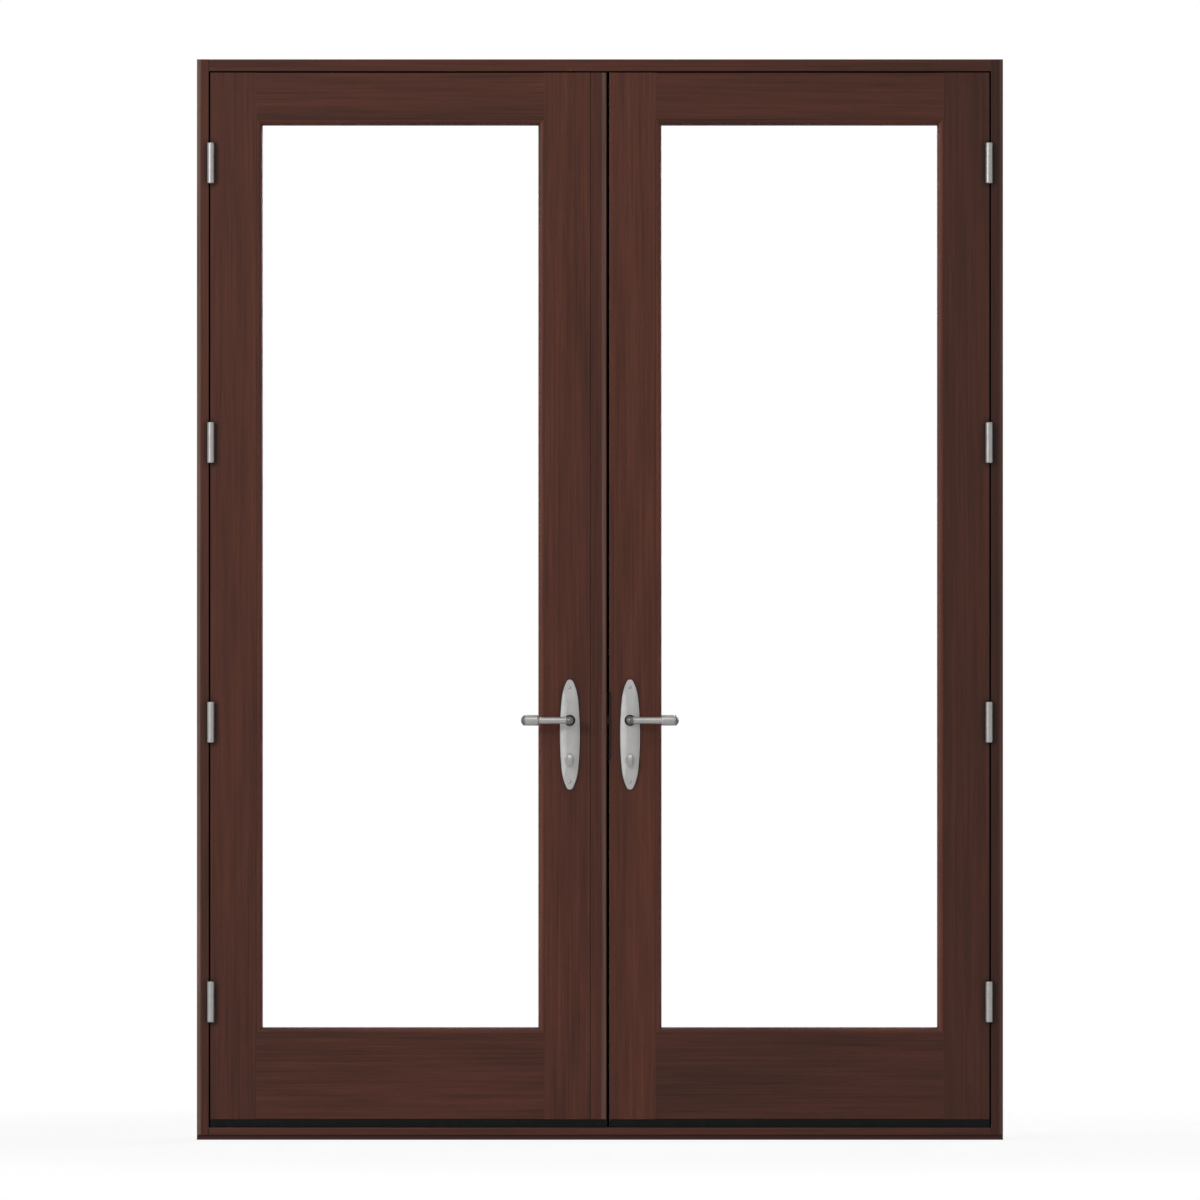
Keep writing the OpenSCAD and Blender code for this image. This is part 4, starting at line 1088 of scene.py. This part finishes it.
@dataclass
class Leaf(Assembly):
    """One glazed leaf with its sweep, its handles and its lock."""

    side: str
    seed: float
    shades: tuple[float, float, float, float]
    bored: bool = False
    sill_top: float = SILL_TOP
    touch: float = TOUCH
    bore_x: float = -0.02665
    bore_half: float = 0.0066
    bore_y: float = -0.030775
    carrier_t: float = 0.003
    fin_t: float = 0.003
    fin_taper: float = 0.0007
    fin_bend: float = 0.0012
    fin_steps: int = 8
    # Painted light and shade on the beads: upright lengths lighter, level lengths darker.
    bead_shade: float = 1.3
    bead_level_shade: float = 0.72

    def build(self) -> None:
        """Makes the sweep: a carrier under the leaf with soft fins that stand on the sill."""
        low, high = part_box(f"{self.side}_sweep")
        leaf_z0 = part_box(f"{self.side}_bottom_rail")[0].z
        sweep = Moulding(f"{self.side}_sweep_fins")
        carrier_z = leaf_z0 - self.carrier_t
        spans = [(low.y, high.y)]
        bored_spans = [(low.y, self.bore_y - self.bore_half), (self.bore_y + self.bore_half, high.y)]
        cuts = [low.x, high.x]
        if self.bored:
            cuts = [low.x, self.bore_x - self.bore_half, self.bore_x + self.bore_half, high.x]
        for i in range(len(cuts) - 1):
            for y0, y1 in bored_spans if i == 1 else spans:
                section = [(y0, carrier_z), (y1, carrier_z), (y1, leaf_z0), (y0, leaf_z0)]
                sweep.run_x(section, cuts[i], cuts[i + 1])
        for y in (low.y, (low.y + self.bore_y - self.bore_half) / 2.0, high.y - self.fin_t):
            sweep.run_x(self._fin(y, carrier_z), low.x, high.x)
        sweep.finish(RUBBER, f"{self.side}_door", "black_rubber", f"{self.side}_sweep")

    def _fin(self, y: float, top: float) -> list[Point]:
        """Draws one fin, thinner towards its foot and bent a little to the weather side.

        Args:
            y: where its room side starts.
            top: the underside of the carrier.

        Returns:
            The section in (y, z).
        """
        foot = self.sill_top + self.touch
        room, weather = [], []
        for step in range(self.fin_steps + 1):
            share = step / self.fin_steps
            z = top + (foot - top) * share
            middle = y + self.fin_t / 2.0 + self.fin_bend * share * share
            half = self.fin_t / 2.0 - self.fin_taper * share
            room.append((middle - half, z))
            weather.append((middle + half, z))
        return room + weather[::-1]

    def dress(self, nodes: Nodes) -> None:
        """Puts wood, glass, rubber and metal on the leaf's solids.

        Args:
            nodes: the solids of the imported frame.
        """
        side, seed = self.side, self.seed
        boards = (
            ("hinge_stile", Grain.UPRIGHT),
            ("meeting_stile", Grain.UPRIGHT),
            ("top_rail", Grain.LEVEL),
            ("bottom_rail", Grain.LEVEL),
        )
        for place, (board, grain) in enumerate(boards):
            finish = StainedWood(f"wood_{side}_{board}", grain, seed + place, self.shades[place])
            dress_nodes(nodes, finish, f"{side}_{board}")
        low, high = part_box(f"{side}_glazing_beads")
        middle = ((low.x + high.x) / 2.0, (low.z + high.z) / 2.0)
        half = ((high.x - low.x) / 2.0, (high.z - low.z) / 2.0)
        beads = StainedWood(
            f"wood_{side}_beads",
            Grain.MITRED,
            seed + len(boards),
            self.bead_shade,
            middle,
            half,
            self.bead_level_shade,
        )
        dress_nodes(nodes, beads, f"{side}_glazing_beads")
        dress_nodes(nodes, GLASS, f"{side}_inner_pane", f"{side}_outer_pane")
        dress_nodes(nodes, SPACER_METAL, f"{side}_spacer")
        dress_nodes(nodes, RUBBER, f"{side}_glazing_gasket")
        dress_nodes(nodes, PLATE_NICKEL, f"{side}_room_plate", f"{side}_outside_plate")
        upright = ("hinge_plates", "plate_screws", "thumb_turn")
        dress_nodes(nodes, SATIN_NICKEL, *(f"{side}_{piece}" for piece in upright))
        dress_nodes(nodes, LEVER_NICKEL, f"{side}_room_lever", f"{side}_outside_lever")
        dress_nodes(nodes, PLAIN_STEEL, f"{side}_hinge_screws", f"{side}_spindle")


@dataclass
class MeetingEdge(Assembly):
    """The astragal with its seal, and the locks and bolts between the two leaves."""

    seed: float = 31.0
    gap: float = 0.005
    touch: float = TOUCH
    seal_half: float = 0.0036
    sill_top: float = SILL_TOP
    screw_in: float = 0.0062
    strike_screw_up: float = 0.0598
    shade: float = 0.87
    # Span and colour of the painted highlight along the astragal's free edge.
    highlight_band: Band = Band(0.003, 0.015, 0.003)
    lighter_tone: Colour = Colour(106, 82, 74)

    def build(self) -> None:
        """Makes the seal that closes the meeting gap from the sill to the head, and the locks' screws."""
        low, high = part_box("astragal_seal")
        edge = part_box("astragal")[1].x
        middle = (low.y + high.y) / 2.0
        outline = Bulb(-self.seal_half, self.seal_half, self.gap - self.touch).outline()
        section = [(edge + out, middle + across) for across, out in outline]
        seal = Moulding("astragal_bulb")
        seal.run_z(section, self.sill_top + self.touch, high.z)
        seal.finish(RUBBER, "passive_door", "black_rubber", "astragal_seal")
        self._lock_screws()

    def _lock_screws(self) -> None:
        """Makes the screws in the strike and in the face plate of the active leaf's lock."""
        screw = ScrewHead()
        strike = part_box("strike_plate")
        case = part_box("active_lock_case")
        y = (case[0].y + case[1].y) / 2.0
        heights = {
            "low": strike[0].z + self.screw_in,
            "middle": strike[0].z + self.strike_screw_up,
            "high": strike[1].z - self.screw_in,
        }
        right = Vector((1.0, 0.0, 0.0))
        for place, z in heights.items():
            at = Vector((strike[1].x, y, z))
            screw.drive(f"strike_{place}_screw", at, right, BRONZE, "passive_door", "dark_steel")
        for place, z in (("low", case[0].z + self.screw_in), ("high", case[1].z - self.screw_in)):
            at = Vector((case[0].x, y, z))
            screw.drive(f"lock_face_{place}_screw", at, -right, BRONZE, "active_door", "dark_steel")

    def dress(self, nodes: Nodes) -> None:
        """Puts wood and metal on the solids at the meeting edge.

        Args:
            nodes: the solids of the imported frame.
        """
        wood = StainedWood(
            "wood_astragal",
            Grain.UPRIGHT,
            self.seed,
            self.shade,
            highlight_band=self.highlight_band,
            lighter_tone=self.lighter_tone,
        )
        dress_nodes(nodes, wood, "astragal")
        dress_nodes(nodes, BRONZE, "strike_plate", "active_lock_case", "latch_bolt", "dead_bolt")
        dress_nodes(nodes, PLAIN_STEEL, "passive_lock_case", "passive_top_bolt", "passive_bottom_bolt")
        dress_nodes(nodes, SATIN_NICKEL, "key_cylinder")


@dataclass(frozen=True)
class Lamp:
    """A square soft lamp that looks at a point."""

    name: str
    place: tuple[float, float, float]
    target: tuple[float, float, float]
    size: float
    power: float

    def hang(self) -> None:
        """Puts the lamp in the scene."""
        data = bpy.data.lights.new(self.name, "AREA")
        data.shape = "SQUARE"
        data.size = self.size
        data.energy = self.power
        lamp = bpy.data.objects.new(self.name, data)
        lamp.location = self.place
        way = Vector(self.target) - Vector(self.place)
        lamp.rotation_euler = way.to_track_quat("-Z", "Y").to_euler()
        bpy.context.scene.collection.objects.link(lamp)
        LOG.info("hung %s", self.name)


@dataclass
class Studio:
    """Floor, world, lamps and the camera at the photograph's place."""

    floor_r: float = 3.0
    floor_drop: float = 0.0005
    floor_steps: int = 96
    floor_pale: float = 0.86
    floor_glow: float = 0.86
    fade_from: float = 1.2
    soft_light: float = 0.3
    lens: float = 540.0
    sensor: float = 36.0
    view_w: float = 2.694
    far_clip: float = 4.0
    face_y: float = -0.058
    aim: Point = (0.00015, 1.2118)
    white: tuple[float, float, float, float] = (1.0, 1.0, 1.0, 1.0)
    lamps: list[Lamp] = field(
        default_factory=lambda: [
            Lamp("key_lamp", (-6.4, -7.2, 4.0), (0.0, 0.0, 1.2), 2.4, 420.0),
            Lamp("front_lamp", (-1.2, -6.0, 7.0), (0.0, 0.0, 1.2), 1.8, 120.0),
            Lamp("weather_lamp", (2.6, 4.2, 2.9), (0.0, 0.0, 1.2), 2.4, 130.0),
        ]
    )

    def set_up(self) -> None:
        """Makes the whole studio."""
        bpy.context.scene.view_settings.view_transform = "Standard"
        self._world()
        self._floor()
        for lamp in self.lamps:
            lamp.hang()
        self._camera()

    @staticmethod
    def _seen(graph: Graph) -> Wire:
        """One for rays that show the background itself, in the picture, in metal or through glass."""
        path = graph.node("ShaderNodeLightPath")
        return path.out("Is Camera Ray").most(path.out("Is Glossy Ray")).most(path.out("Is Transmission Ray"))

    def _world(self) -> None:
        """A white background that lights the doors softly."""
        world = bpy.data.worlds.new("studio_white")
        world.use_nodes = True
        bpy.context.scene.world = world
        graph = Graph(world.node_tree)
        dim = {"Color": self.white, "Strength": self.soft_light}
        soft = graph.node("ShaderNodeBackground", {}, dim).out(0)
        plain = graph.node("ShaderNodeBackground", {}, {"Color": self.white, "Strength": 1.0}).out(0)
        both = graph.node("ShaderNodeMixShader", {}, {0: self._seen(graph), 1: soft, 2: plain}).out(0)
        graph.node("ShaderNodeOutputWorld", {}, {"Surface": both})

    def _floor(self) -> None:
        """A pale round floor that keeps the doors' shadow and fades into the white background."""
        mesh = bmesh.new()
        bmesh.ops.create_circle(mesh, cap_ends=True, segments=self.floor_steps, radius=self.floor_r)
        data = bpy.data.meshes.new("floor")
        mesh.to_mesh(data)
        mesh.free()
        floor = bpy.data.objects.new("floor", data)
        floor.location.z = -self.floor_drop
        bpy.context.scene.collection.objects.link(floor)
        made = bpy.data.materials.new("studio_floor")
        made.use_nodes = True
        graph = Graph(made.node_tree)
        place = graph.node("ShaderNodeTexCoord").out("Object")
        far = graph.node("ShaderNodeVectorMath", {"operation": "LENGTH"}, {0: place}).out("Value")
        fade = self.floor_glow + (1.0 - self.floor_glow) * far.ease(self.fade_from, self.floor_r)
        grey = (self.floor_pale, self.floor_pale, self.floor_pale, 1.0)
        pale = graph.node("ShaderNodeBsdfDiffuse", {}, {"Color": grey}).out(0)
        glow = graph.node("ShaderNodeEmission", {}, {"Color": self.white, "Strength": 1.0}).out(0)
        both = graph.node("ShaderNodeMixShader", {}, {0: self._seen(graph) * fade, 1: pale, 2: glow}).out(0)
        graph.node("ShaderNodeOutputMaterial", {}, {"Surface": both})
        data.materials.append(made)

    def _camera(self) -> None:
        """A camera far off with a long lens, so that the doors show square on."""
        data = bpy.data.cameras.new("camera")
        data.lens = self.lens
        data.sensor_width = self.sensor
        away = self.view_w * self.lens / self.sensor
        data.clip_end = self.far_clip * away
        camera = bpy.data.objects.new("camera", data)
        camera.location = (self.aim[0], self.face_y - away, self.aim[1])
        camera.rotation_euler = (math.radians(90.0), 0.0, 0.0)
        bpy.context.scene.collection.objects.link(camera)
        bpy.context.scene.camera = camera


def main() -> None:
    """Builds and dresses the doors and sets up the studio."""
    logging.basicConfig(level=logging.INFO, format="%(name)s: %(message)s")
    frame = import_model()
    assemblies: list[Assembly] = [
        DoorFrame(),
        # Tones of each leaf's hinge stile, meeting stile, top rail and bottom rail: partly their own, partly
        # painted shade, darker on the right where the light falls off.
        Leaf("passive", 10.0, (0.9, 1.04, 1.02, 0.91), bored=True),
        Leaf("active", 20.0, (0.69, 1.05, 0.88, 0.75)),
        MeetingEdge(),
    ]
    for assembly in assemblies:
        assembly.build()
        assembly.dress(frame["nodes"])
    Studio().set_up()


if __name__ == "__main__":
    main()
